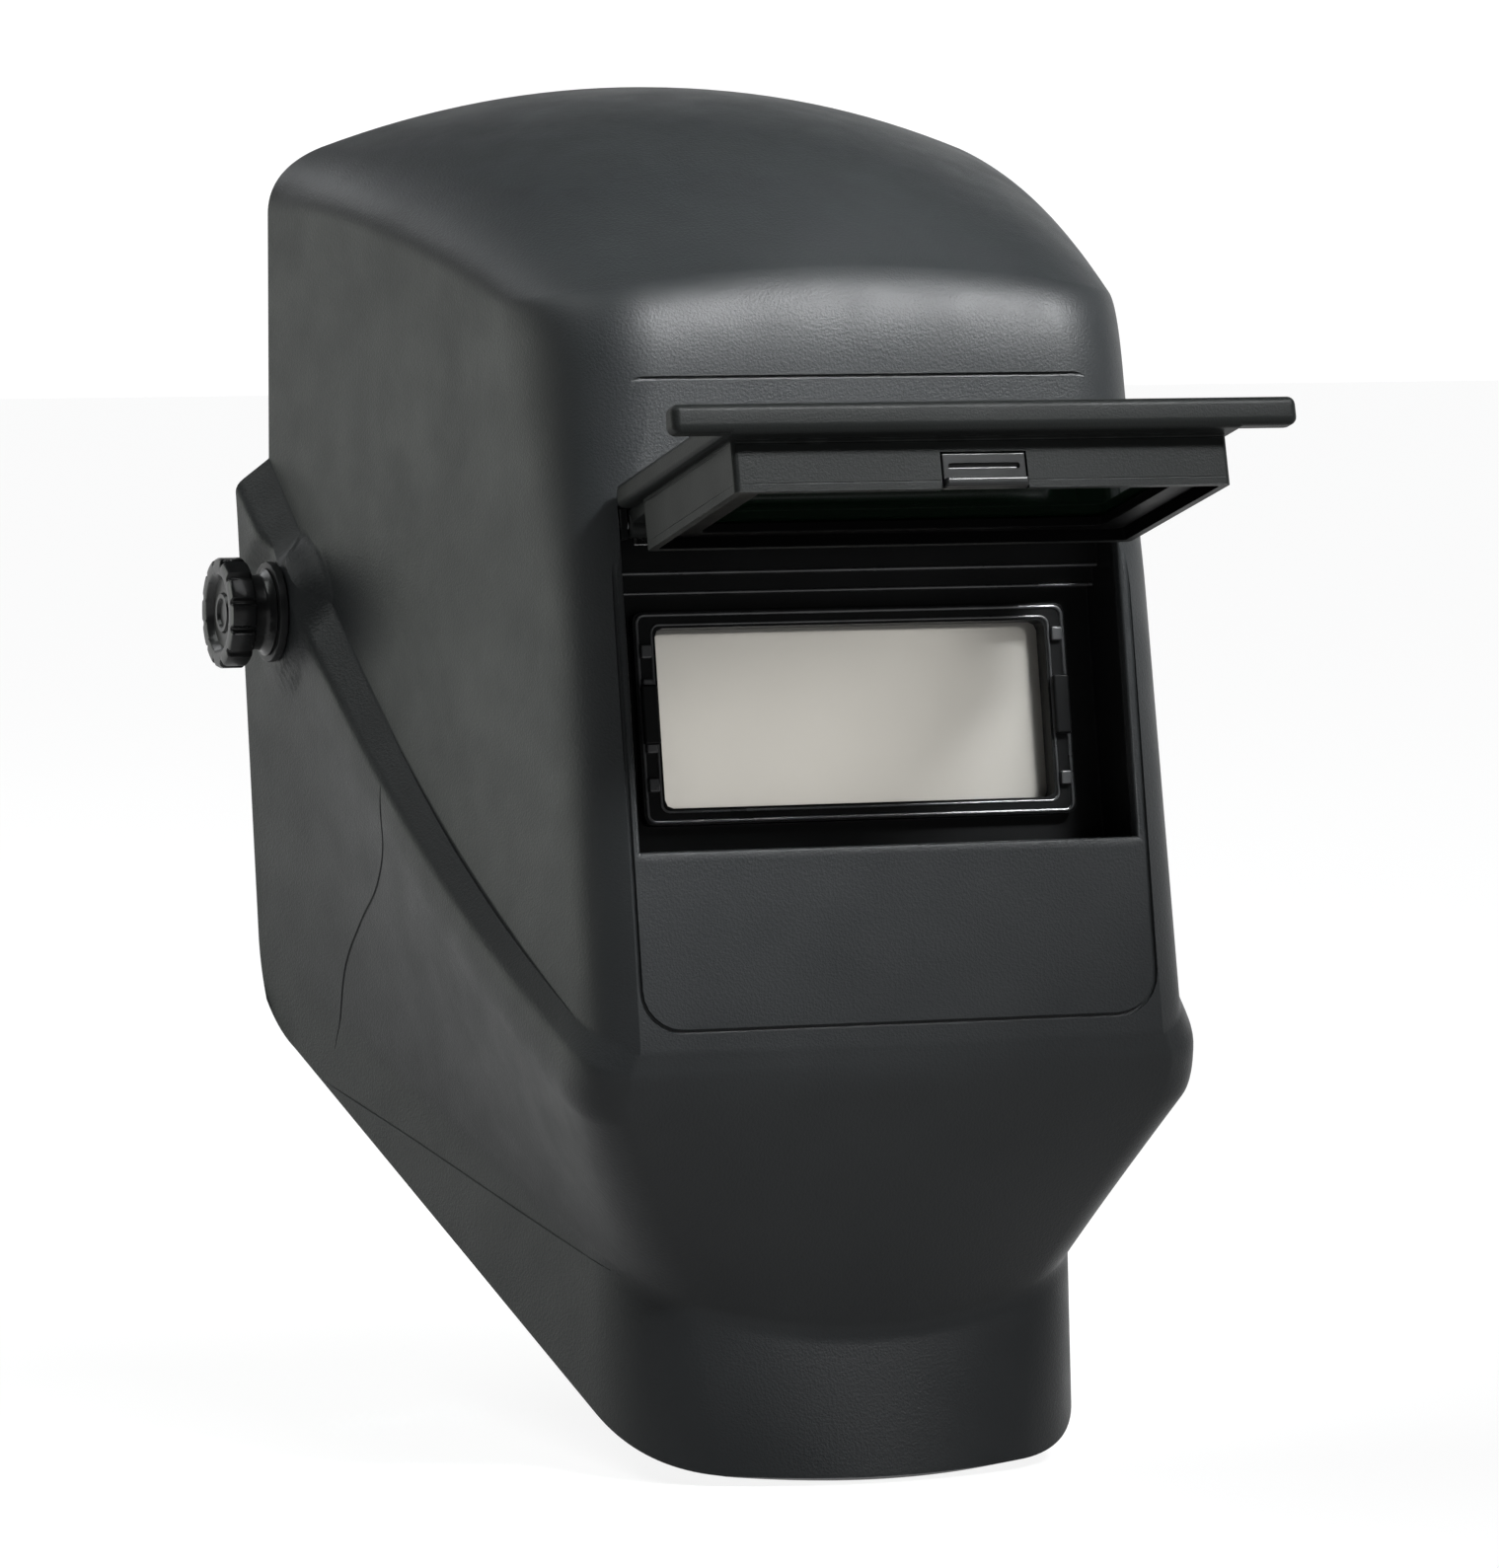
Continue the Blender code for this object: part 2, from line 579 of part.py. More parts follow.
def filter_stack(lift):
    """Cover plate, gasket, filter and spring retainer, stacked under the cover's window."""
    mid = BOX_NEAR + BOX_LENGTH / 2
    half_length = PLATE_LENGTH / 2
    half_height = PLATE_HEIGHT / 2

    def layer(name, look, half, reach, top, thick, rounding):
        low = (-half, -mid - reach, top - thick)
        high = (half, -mid + reach, top)
        return box(name, lift, look, low, high, rounding, 2)

    layer("cover_plate", CLEAR_PLATE, half_length, half_height, 2.2 * MM, 1.5 * MM, 1 * MM)
    gasket = layer("filter_gasket", GASKET_RUBBER, half_length, half_height, 0.4 * MM, 1.5 * MM, 1 * MM)
    layer("filter_plate", FILTER_GLASS, half_length, half_height, -1.4 * MM, 3.0 * MM, 1 * MM)
    retainer = layer("filter_retainer", GLOSS_NYLON, 56 * MM, 26 * MM, -4.7 * MM, 2.2 * MM, 2 * MM)
    sight = (SIGHT_HALF + MM, mid - SIGHT_HEIGHT / 2 - MM, mid + SIGHT_HEIGHT / 2 + MM)
    opening = lift_box("retainer_opening", lift, *sight, 3 * MM, -12 * MM, 2 * MM, 2)
    cut(gasket, opening)
    cut(retainer, opening)


def lift_latch(latch):
    """The sprung catch in the box's outer wall, modelled about its flexing root."""
    low, high = vec(-LATCH_HALF, -1.0, -7.9), vec(LATCH_HALF, 0.8, 0)
    tongue = box("lift_latch", latch, GLOSS_NYLON, low, high, 0.3 * MM)
    hook_low, hook_high = vec(-LATCH_HALF, -2.8, -7.8), vec(LATCH_HALF, 0, -5.4)
    join(tongue, block("latch_hook", latch, hook_low, hook_high, 0.4 * MM))


# ---------------------------------------------------------------- temple pivots


def x_profile(sign, *points):
    """Profile points given as (radius, distance from the middle plane) in mm, ordered +x to -x."""
    ordered = [(radius * MM, sign * along * MM) for radius, along in points]
    return ordered if sign > 0 else ordered[::-1]


def tension_knob(side, sign, axis):
    """A fluted thumb wheel on a waisted hub, with a blind bore for the stud."""
    knob = turned(
        f"tension_knob_{side}",
        axis,
        GLOSS_NYLON,
        x_profile(
            sign,
            (0, 113.6),
            (8.6, 113.6),
            (9.8, 115.2),
            (12.6, 115.2),
            (13.4, 114.2),
            (13.4, 109.6),
            (12.6, 108.8),
            (9.4, 108.4),
            (9.0, 105.0),
            (10.6, 103.1),
            (4.1, 103.1),
            (4.1, 111.8),
            (0, 111.8),
        ),
        32,
    )
    work = bmesh.new()
    turn = Matrix.Rotation(math.pi / 2, 4, "Y")
    for i in range(12):
        angle = math.tau * i / 12
        around = Vector((sign * 112 * MM, math.cos(angle) * 14.6 * MM, math.sin(angle) * 14.6 * MM))
        bmesh.ops.create_cone(
            work,
            cap_ends=True,
            segments=6,
            radius1=2.1 * MM,
            radius2=2.1 * MM,
            depth=12 * MM,
            matrix=Matrix.Translation(around) @ turn,
        )
    cut(knob, place(f"knob_flutes_{side}", mesh_from(work, f"knob_flutes_{side}"), axis))
    knob.modifiers.move(len(knob.modifiers) - 1, 1)


def washer(name, parent, sign, look, outer, near, far):
    inner = WASHER_BORE
    profile = x_profile(sign, (inner, far), (outer, far), (outer, near), (inner, near), (inner, far))
    turned(name, parent, look, profile, 20)


def temple_pivot(side, sign, parent):
    """Everything on one pivot axis, from the headband's bracket out to the knob."""
    disc = span(sign, BRACKET_INNER, BRACKET_OUTER)
    bracket = rod(f"pivot_bracket_{side}", parent, BAND_PLASTIC, 12 * MM, *disc, sides=32)
    reach = span(sign, BRACKET_INNER, BRACKET_OUTER - 1.4 * MM)
    arm_low, arm_high = (reach[0], -9 * MM, 0), (reach[1], 9 * MM, 41 * MM)
    join(bracket, block(f"bracket_arm_{side}", parent, arm_low, arm_high, 4 * MM, 0))
    boss_span = span(sign, BRACKET_OUTER - 0.4 * MM, 91.6 * MM)
    join(bracket, rod(f"bracket_boss_{side}", parent, None, 8.6 * MM, *boss_span))
    cut(bracket, rod(f"bracket_bore_{side}", parent, None, 4.0 * MM, *span(sign, 70 * MM, 99 * MM)))
    for row, height in RIVET_HEIGHTS:
        name = f"bracket_rivet_{row}_{side}_hole"
        cut(bracket, rod(name, parent, None, RIVET_BORE, *span(sign, 70 * MM, 90 * MM), (0, height), 12))
    profile = x_profile(sign, (0, 111.2), (2.9, 111.2), (STUD_RADIUS, 110.5), (STUD_RADIUS, 79.1),
                        (6.8, 79.1), (6.8, 77.8), (5.0, 76.6), (0, 76.6))
    turned(f"pivot_stud_{side}", parent, ZINC_STEEL, profile, 24)
    washer(f"tilt_stop_{side}", parent, sign, BAND_PLASTIC, 11.5, 91.9, 94.3)
    washer(f"inner_friction_washer_{side}", parent, sign, FIBRE, 11.5, 94.6, 96.3)
    washer(f"outer_friction_washer_{side}", parent, sign, FIBRE, 12.2, 100.7, 102.8)


# ---------------------------------------------------------------- headgear


def side_height(y):
    """Height of the straps' middle line: level over the forehead, falling toward the nape."""
    drop = max(0.0, y - 5 * MM) / (BAND_BEHIND - 5 * MM)
    return 30 * MM - 44 * MM * drop


def front_route(offset, tail, count=24):
    """Points from the right tail round the forehead to the left tail, offset outward."""
    half, ahead = BAND_HALF + offset, BAND_AHEAD + offset - 4 * MM
    route = [(-half, y * MM) for y in tail]
    for i in range(count + 1):
        angle = math.pi * i / count
        route.append((-half * math.cos(angle), -4 * MM - ahead * math.sin(angle)))
    route += [(half, y * MM) for y in reversed(tail)]
    return [(x, y, side_height(y)) for x, y in route]


def rear_route(half, start, corner, behind, count=20):
    """Points from the right side round the nape to the left side."""
    route = [(-half, start), (-half, (start + corner) / 2)]
    for i in range(count + 1):
        angle = math.pi * i / count
        route.append((-half * math.cos(angle), corner + (behind - corner) * math.sin(angle)))
    route += [(half, (start + corner) / 2), (half, start)]
    return [(x, y, side_height(y)) for x, y in route]


def headband(headgear):
    route = front_route(0, (60, 42, 24))
    heights = [17 * MM, 17 * MM, 21 * MM] + [26 * MM] * (len(route) - 6) + [21 * MM, 17 * MM, 17 * MM]
    band = ribbon("headband_front", headgear, BAND_PLASTIC, route, heights, BAND_THICK)
    for side, sign in SIDES:
        for row, height in RIVET_HEIGHTS:
            name = f"bracket_rivet_{row}_{side}"
            through = span(sign, 70 * MM, 90 * MM)
            cut(band, rod(f"{name}_band_hole", headgear, None, RIVET_BORE, *through, (0, height), 12))
            profile = x_profile(sign, (0, 84.1), (2.2, 84.1), (3.0, 83.2), (3.0, 82.3), (1.6, 82.3),
                                (1.6, 76.7), (2.8, 76.7), (2.8, 75.9), (0, 75.9))
            rivet = turned(name, headgear, ZINC_STEEL, profile, 14)
            rivet.location = (0, 0, height)


def sweatband(headgear):
    """Padded cloth round the inside of the forehead band."""
    count = 22
    points = []
    for i in range(count + 1):
        angle = math.pi * (0.20 + 0.60 * i / count)
        half, ahead = BAND_HALF - 4.2 * MM, BAND_AHEAD - 8.2 * MM
        points.append((-half * math.cos(angle), -4 * MM - ahead * math.sin(angle), 30 * MM))
    ribbon("sweatband", headgear, SWEAT_CLOTH, points, [32 * MM] * len(points), 5.4 * MM)


def crown_straps(headgear):
    """Two straps over the head, lapped at the top and held by a peg through both."""
    count = 12
    half = BAND_HALF - 6.8 * MM
    foot = 26 * MM
    for side, sign, under in (("left", 1, 0), ("right", -1, 3.0 * MM)):
        rows = []
        work = bmesh.new()
        for i in range(count + 1):
            angle = (math.pi / 2) * i / count
            rise = (CROWN_TOP - foot - under) * math.sin(angle)
            rows.append((sign * half * math.cos(angle), foot + rise))
        rows.append((-sign * 9 * MM, CROWN_TOP - under))
        edges = (STRAP_Y - STRAP_WIDTH / 2, STRAP_Y + STRAP_WIDTH / 2)
        strip = [[work.verts.new((x, y, z)) for y in edges] for x, z in rows]
        for near, far in zip(strip, strip[1:]):
            work.faces.new((near[0], near[1], far[1], far[0]))
        name = f"crown_strap_{side}"
        strap = place(name, mesh_from(work, name), headgear, BAND_PLASTIC)
        thick = strap.modifiers.new("thickness", "SOLIDIFY")
        thick.thickness = STRAP_THICK
        thick.offset = 0
        low, high = CROWN_TOP - 8 * MM, CROWN_TOP + 4 * MM
        cut(strap, round_bar(f"peg_hole_{side}", headgear, 2.4 * MM, low, high, (0, STRAP_Y)))
        smooth(strap)
    top = CROWN_TOP + 1.2 * MM
    low = CROWN_TOP - 4.2 * MM
    profile = [(0, top + 1.2 * MM), (4.2 * MM, top + 1.2 * MM), (5 * MM, top), (2 * MM, top), (2 * MM, low),
               (3 * MM, low), (2.2 * MM, low - MM), (0, low - MM)]
    peg = turned("crown_peg", headgear, GLOSS_NYLON, profile, 16)
    peg.rotation_euler = (0, 0, 0)
    peg.location = (0, STRAP_Y, 0)


def nape_assembly(nape, ratchet):
    """Rear strap, its pad and the ratchet housing, which slide as one on the headband's tails."""
    half = BAND_HALF + 2.4 * MM
    route = rear_route(half, 40 * MM, 75 * MM, BAND_BEHIND)
    ribbon("nape_band", nape, BAND_PLASTIC, route, [NAPE_HEIGHT] * len(route), BAND_THICK)
    height = side_height(BAND_BEHIND)
    low = (-HOUSING_HALF, BAND_BEHIND + 1.4 * MM, height - 15 * MM)
    high = (HOUSING_HALF, BAND_BEHIND + 10 * MM, height + 15 * MM)
    housing = box("ratchet_housing", nape, BAND_PLASTIC, low, high, 4 * MM, 1, 3)
    inner = round_bar("ratchet_cavity", ratchet, 10.4 * MM, 118.9 * MM, 124.4 * MM, sides=32, axis="Y")
    shaft = round_bar("ratchet_shaft_hole", ratchet, 4.4 * MM, 115 * MM, 130 * MM, sides=32, axis="Y")
    cut(housing, inner, shaft)
    pad_low = (-26 * MM, BAND_BEHIND - 9.5 * MM, height - 13 * MM)
    pad_high = (26 * MM, BAND_BEHIND - 4.0 * MM, height + 13 * MM)
    box("nape_pad", nape, SWEAT_CLOTH, pad_low, pad_high, 2 * MM)


def ratchet_knob(ratchet):
    """The nape knob, its shaft and the pinion that drives the two tails."""
    profile = [(0, 138.5), (13.5, 138.5), (16.5, 136.5), (17.0, 128.4), (16.0, 127.4), (4.0, 127.4),
               (4.0, 120.2), (0, 120.2)]
    knob = turned("ratchet_knob", ratchet, GLOSS_NYLON, [(r * MM, y * MM) for r, y in profile], 40)
    knob.rotation_euler = (-math.pi / 2, 0, 0)


def ratchet_pinion(ratchet):
    """The toothed wheel inside the housing, keyed to the knob's shaft."""
    root, tip = 7.2 * MM, 9.6 * MM
    outline = []
    for i in range(PINION_TEETH * 4):
        radius = tip if i % 4 in (1, 2) else root
        angle = math.tau * (i + 0.5) / (PINION_TEETH * 4)
        outline.append((math.cos(angle) * radius, 119.4 * MM, math.sin(angle) * radius))
    work = bmesh.new()
    face = work.faces.new([work.verts.new(point) for point in outline])
    swept = bmesh.ops.extrude_face_region(work, geom=[face])
    moved = [v for v in swept["geom"] if isinstance(v, bmesh.types.BMVert)]
    bmesh.ops.translate(work, verts=moved, vec=(0, 4.4 * MM, 0))
    pinion = place("ratchet_pinion", mesh_from(work, "ratchet_pinion"), ratchet, BAND_PLASTIC)
    cut(pinion, round_bar("pinion_bore", ratchet, 4.3 * MM, 117 * MM, 126 * MM, sides=20, axis="Y"))


def main():
    headgear = frame("headgear")
    pivot = frame("helmet_pivot")
    face = frame("face_plane", pivot, (0, -FACE_AHEAD, 0), -FACE_LEAN)
    hinge_at = face_point(HINGE_IN, HINGE_UP)
    lift = frame("lift_front_axis", pivot, hinge_at, -RAISED_PITCH)
    latch_y = -(BOX_NEAR + BOX_LENGTH - 1.0 * MM)
    latch = frame("latch_root", lift, (0, latch_y, -1.1 * MM))
    nape = frame("nape_slide")
    ratchet = frame("ratchet_axis", nape, (0, 0, side_height(BAND_BEHIND)))
    helmet_shell(pivot, face)
    lens_tray(face)
    fixed_plate_parts(face)
    detent_springs(face)
    rod("hinge_pin", lift, ZINC_STEEL, PIN_RADIUS, -60.9 * MM, 60.9 * MM, sides=14)
    lift_front_frame(lift)
    filter_stack(lift)
    lift_latch(latch)
    for side, sign in SIDES:
        axis = frame(f"knob_axis_{side}")
        tension_knob(side, sign, axis)
        temple_pivot(side, sign, headgear)
    headband(headgear)
    sweatband(headgear)
    crown_straps(headgear)
    nape_assembly(nape, ratchet)
    ratchet_pinion(ratchet)
    ratchet_knob(ratchet)


def face_point(inward, up):
    """A point of the middle plane, from its depth behind the face and its height along it."""
    lean = FACE_LEAN
    y = -FACE_AHEAD + inward * math.cos(lean) + up * math.sin(lean)
    return (0, y, up * math.cos(lean) - inward * math.sin(lean))


main()
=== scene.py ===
"""Looks of the lift-front welding helmet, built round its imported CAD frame.

Metres, +Z up. The wearer looks along -Y, +X is the wearer's left, and the origin is midway between the
temple pivots.
"""

import math

import bmesh
import bpy
from mathutils import Matrix, Vector

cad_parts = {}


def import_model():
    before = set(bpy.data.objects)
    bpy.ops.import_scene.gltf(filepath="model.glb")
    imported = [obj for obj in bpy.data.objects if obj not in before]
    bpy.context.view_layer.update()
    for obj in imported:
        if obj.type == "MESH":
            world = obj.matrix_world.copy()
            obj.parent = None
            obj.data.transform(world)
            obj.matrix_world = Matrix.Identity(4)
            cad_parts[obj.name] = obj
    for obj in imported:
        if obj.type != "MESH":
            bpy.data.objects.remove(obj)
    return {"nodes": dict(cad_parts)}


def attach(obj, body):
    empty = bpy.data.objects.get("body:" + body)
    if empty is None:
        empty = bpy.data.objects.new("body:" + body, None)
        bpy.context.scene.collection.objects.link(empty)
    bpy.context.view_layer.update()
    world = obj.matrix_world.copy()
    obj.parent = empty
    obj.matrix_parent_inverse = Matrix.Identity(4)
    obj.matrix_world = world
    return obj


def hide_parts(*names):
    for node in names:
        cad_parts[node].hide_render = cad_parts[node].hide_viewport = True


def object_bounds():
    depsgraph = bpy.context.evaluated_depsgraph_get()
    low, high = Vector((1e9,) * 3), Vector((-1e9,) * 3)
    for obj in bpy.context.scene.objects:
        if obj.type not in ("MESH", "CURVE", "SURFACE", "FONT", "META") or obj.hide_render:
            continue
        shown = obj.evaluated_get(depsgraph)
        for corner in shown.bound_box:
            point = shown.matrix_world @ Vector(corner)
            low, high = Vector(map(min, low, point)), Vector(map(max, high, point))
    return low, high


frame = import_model()
CAD_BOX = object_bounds()

MM = 0.001
NODES = frame["nodes"]

CAMERA_PLACE = (-0.6981, -1.9271, 0.1208)
CAMERA_AIM = (0, -0.05986, -0.0402)
CAMERA_LENS = 199.8
SENSOR_WIDTH = 36.0
CAMERA_CLIP = (0.05, 50.0)

WHITE = (1.0, 1.0, 1.0)
ROOM = (0.045, 0.047, 0.050)
WORLD_STRENGTH = 1.08
WALL_ACROSS = (-0.10, 0.45)  # over which the room turns to the white wall, going back
WALL_TOP = (0.16, 0.50)  # over which the wall fades, going up
HORIZON_TOP = (0.07, 0.15)  # over which the pale horizon fades, going up
FLOOR_SHADE = 0.20
FLOOR_GLOW = 0.86
FLOOR_HALF = 7.0
FLOOR_GAP = 0.0006
SUN_DISTANCE = 3

# The leaning face plane and the lift front's raised pitch, as the CAD has them.
FACE_AHEAD = 144.6 * MM
FACE_LEAN = math.atan(0.187)
HINGE_IN = 2.5 * MM
HINGE_UP = 27.6 * MM
RAISED_PITCH = math.radians(15.3)
WINDOW_HALF = 61.3 * MM
WINDOW_LOW = -47.8 * MM
WINDOW_HIGH = 32.0 * MM
WALL = 3.0 * MM
PIVOT_SEAT = 100.4 * MM

OBJECT_MIDDLE = (0, -0.06, -0.03)
BROW_MIDDLE = (0, -0.11, 0.09)

FACE = Matrix.Translation((0, -FACE_AHEAD, 0)) @ Matrix.Rotation(-FACE_LEAN, 4, "X")
LIFT = FACE @ Matrix.Translation((0, HINGE_IN, HINGE_UP))
LIFT = LIFT @ Matrix.Rotation(FACE_LEAN - RAISED_PITCH, 4, "X")

# ---------------------------------------------------------------- camera, lights and stage


def hung(name, data, place, aim):
    """An object for a camera or light, put at a place and turned to a point."""
    made = bpy.data.objects.new(name, data)
    bpy.context.scene.collection.objects.link(made)
    made.location = place
    made.rotation_mode = "QUATERNION"
    made.rotation_quaternion = (Vector(aim) - made.location).to_track_quat("-Z", "Y")
    return made


def direction(azimuth, elevation):
    """A way given in degrees round from the front, towards the wearer's left, and up from level."""
    around, up = math.radians(azimuth), math.radians(elevation)
    return Vector((math.sin(around) * math.cos(up), -math.cos(around) * math.cos(up), math.sin(up)))


def camera():
    """A long lens in front, on the wearer's right and a little above."""
    data = bpy.data.cameras.new("camera")
    data.sensor_fit = "HORIZONTAL"
    data.sensor_width = SENSOR_WIDTH
    data.lens = CAMERA_LENS
    data.clip_start, data.clip_end = CAMERA_CLIP
    bpy.context.scene.camera = hung("camera", data, CAMERA_PLACE, CAMERA_AIM)


def area_light(name, azimuth, elevation, distance, size, power, colour, aim=OBJECT_MIDDLE, beam=180):
    """A rectangular lamp out of the camera's sight, with its beam's angle in degrees."""
    data = bpy.data.lights.new(name, "AREA")
    data.spread = math.radians(beam)
    data.shape = "RECTANGLE"
    data.size, data.size_y = size
    data.energy = power
    data.color = colour
    made = hung(name, data, Vector(aim) + direction(azimuth, elevation) * distance, aim)
    made.visible_camera = False


def sun(name, azimuth, elevation, softness, strength, colour):
    data = bpy.data.lights.new(name, "SUN")
    data.angle = math.radians(softness)
    data.energy = strength
    data.color = colour
    hung(name, data, direction(azimuth, elevation) * SUN_DISTANCE, (0, 0, 0))


def world():
    """A white wall behind the object and a thin pale horizon all round, over a dim room."""
    made = bpy.data.worlds.new("studio")
    bpy.context.scene.world = made
    made.use_nodes = True
    nodes = made.node_tree.nodes
    place = nodes.new("ShaderNodeTexCoord").outputs["Generated"]
    split = wired(nodes.new("ShaderNodeSeparateXYZ"), Vector=place)
    across, up = split.outputs["Y"], split.outputs["Z"]
    behind = spread(nodes, across, 0.0, 1.0, *WALL_ACROSS, smooth=True)
    low = spread(nodes, up, 1.0, 0.0, *WALL_TOP, smooth=True)
    horizon = spread(nodes, up, 1.0, 0.0, *HORIZON_TOP, smooth=True)
    white = arithmetic(nodes, "MAXIMUM", arithmetic(nodes, "MULTIPLY", behind, low), horizon)
    wired(nodes["Background"], Color=blend_colour(nodes, white, ROOM, WHITE), Strength=WORLD_STRENGTH)


def floor():
    """A pale floor with a faint glow, so that it stays white under the soft lights."""
    look, _, _ = shader_of("pale_floor", Base_Color=(FLOOR_SHADE,) * 3, Roughness=0.9,
                           Specular_IOR_Level=0.0, Emission_Color=WHITE, Emission_Strength=FLOOR_GLOW)
    work = bmesh.new()
    bmesh.ops.create_grid(work, x_segments=8, y_segments=8, size=FLOOR_HALF)
    made = finish_mesh(work, "floor", look)
    made.location = (0, 0, CAD_BOX[0].z - FLOOR_GAP)


# ---------------------------------------------------------------- materials

# Scales are texture repeats to the metre; ranges are the parts of a noise that are stretched to 0 and 1.
EDGE_REACH = 0.5 * MM
EDGE_TURN = (0.82, 0.995)
# Paler edges: partly real rubbing, partly a painted highlight where light catches the edges.
WORN_LIT_GAIN, WORN_LIT_LIFT = 2.6, 0.01
PATCH_SCALE, PATCH_RANGE = 160.0, (0.42, 0.68)
GLOSS_SCALE = 55.0
FINE_GRAINS = 2.6  # fine bumps to each pebble of the grain
CLOUD_SCALE, DULL_SHARE = 220.0, 0.62
BRUSH_SCALE, BRUSH_DEPTH = 900.0, 0.02 * MM
TINT_SCALE, TINT_GAIN = 30.0, 1.06
FILM_SCALE, FILM_DRIFT = 14.0, 0.03
TUFT_SCALE, TUFT_RANGE, TUFT_DEPTH = 900.0, (0.5, 1.5), 0.35 * MM
FUZZ_SCALE = 2500.0


def wired(node, **values):
    """Sets a node's inputs, named with _ for a space, to numbers, colours or other nodes' outputs."""
    for key, value in values.items():
        socket = node.inputs[key.replace("_", " ")]
        if isinstance(value, bpy.types.NodeSocket):
            node.id_data.links.new(value, socket)
        else:
            socket.default_value = (*value, 1.0) if isinstance(value, tuple) else value
    return node


def shader_of(name, **values):
    look = bpy.data.materials.new(name)
    look.use_nodes = True
    nodes = look.node_tree.nodes
    return look, nodes, wired(nodes["Principled BSDF"], **values)


def noise(nodes, where, scale, detail=2.0, roughness=0.5):
    made = wired(nodes.new("ShaderNodeTexNoise"), Vector=where, Scale=scale, Detail=detail,
                 Roughness=roughness)
    return made.outputs["Fac"]


def spread(nodes, value, low, high, from_low=0.3, from_high=0.7, smooth=False):
    """Stretches a value from one range to another."""
    made = nodes.new("ShaderNodeMapRange")
    made.interpolation_type = "SMOOTHSTEP" if smooth else "LINEAR"
    wired(made, Value=value, From_Min=from_low, From_Max=from_high, To_Min=low, To_Max=high)
    return made.outputs["Result"]


def blend_colour(nodes, amount, dark, light):
    made = nodes.new("ShaderNodeMix")
    made.data_type = "RGBA"
    return wired(made, Factor=amount, A=dark, B=light).outputs["Result"]


def arithmetic(nodes, kind, first, second):
    made = nodes.new("ShaderNodeMath")
    made.operation = kind
    for socket, value in zip(made.inputs, (first, second)):
        if isinstance(value, bpy.types.NodeSocket):
            made.id_data.links.new(value, socket)
        else:
            socket.default_value = value
    return made.outputs["Value"]


def bump(nodes, height, distance):
    made = wired(nodes.new("ShaderNodeBump"), Strength=1.0, Distance=distance, Height=height)
    return made.outputs["Normal"]


def object_place(nodes):
    return nodes.new("ShaderNodeTexCoord").outputs["Object"]


def edge_amount(nodes, radius):
    """How close a point is to a sharp edge, from a rounded normal against the real one: 0 on a flat."""
    rounded = wired(nodes.new("ShaderNodeBevel"), Radius=radius)
    rounded.samples = 4
    real = nodes.new("ShaderNodeNewGeometry")
    dot = nodes.new("ShaderNodeVectorMath")
    dot.operation = "DOT_PRODUCT"
    for socket, node in zip(dot.inputs, (rounded, real)):
        dot.id_data.links.new(node.outputs["Normal"], socket)
    return spread(nodes, dot.outputs["Value"], 1.0, 0.0, *EDGE_TURN)


def moulded(name, dark, light, gloss, grain, grain_size, wear_and_highlight, drift=16.0, coat=0.0, sheen=0.13):
    """Moulded plastic: pebbled grain, slow colour drift, uneven gloss and paler edges, partly rubbed
    wear and partly a painted highlight.

    The grain's depth and size are in millimetres, drift is colour patches to the metre or so, and the
    edge argument is the share of the paler edges that shows: partly real rubbing, partly a painted
    highlight along the edges.
    """
    look, nodes, shader = shader_of(name, IOR=1.5, Coat_Weight=coat, Coat_Roughness=0.12,
                                    Specular_IOR_Level=sheen)
    where = object_place(nodes)
    slow = spread(nodes, noise(nodes, where, drift, 3.0), 0, 1)
    patchy = spread(nodes, noise(nodes, where, PATCH_SCALE, 3.0), 0.0, 1.0, *PATCH_RANGE)
    # Edge mask for the paler edges: real rubbing and a painted edge highlight.
    rubbed_and_lit = arithmetic(nodes, "MULTIPLY", edge_amount(nodes, EDGE_REACH), patchy)
    rubbed_and_lit = arithmetic(nodes, "MULTIPLY", rubbed_and_lit, wear_and_highlight)
    worn_and_lit = tuple(min(1.0, c * WORN_LIT_GAIN + WORN_LIT_LIFT) for c in light)
    colour = blend_colour(nodes, rubbed_and_lit, blend_colour(nodes, slow, dark, light), worn_and_lit)
    uneven = spread(nodes, noise(nodes, where, GLOSS_SCALE, 4.0, 0.6), *gloss)
    pebble = nodes.new("ShaderNodeTexVoronoi")
    pebble.feature = "SMOOTH_F1"
    wired(pebble, Vector=where, Scale=1 / (grain_size * MM), Smoothness=0.6)
    fine = noise(nodes, where, FINE_GRAINS / (grain_size * MM), 2.0)
    height = arithmetic(nodes, "ADD", pebble.outputs["Distance"], fine)
    wired(shader, Base_Color=colour, Roughness=uneven, Normal=bump(nodes, height, grain * MM))
    return look


def metal(name, colour, gloss, along=(1, 1, 1)):
    """Plated or rolled steel: stretched brushing and cloudy plating with duller patches."""
    look, nodes, shader = shader_of(name, Metallic=1.0, IOR=2.5)
    where = object_place(nodes)
    stretched = wired(nodes.new("ShaderNodeMapping"), Vector=where)
    stretched.inputs["Scale"].default_value = along
    cloud = spread(nodes, noise(nodes, where, CLOUD_SCALE, 3.0), 0, 1)
    dull = tuple(c * DULL_SHARE for c in colour)
    brush = noise(nodes, stretched.outputs["Vector"], BRUSH_SCALE, 3.0)
    wired(shader, Base_Color=blend_colour(nodes, cloud, dull, colour),
          Roughness=spread(nodes, brush, *gloss), Normal=bump(nodes, brush, BRUSH_DEPTH))
    return look


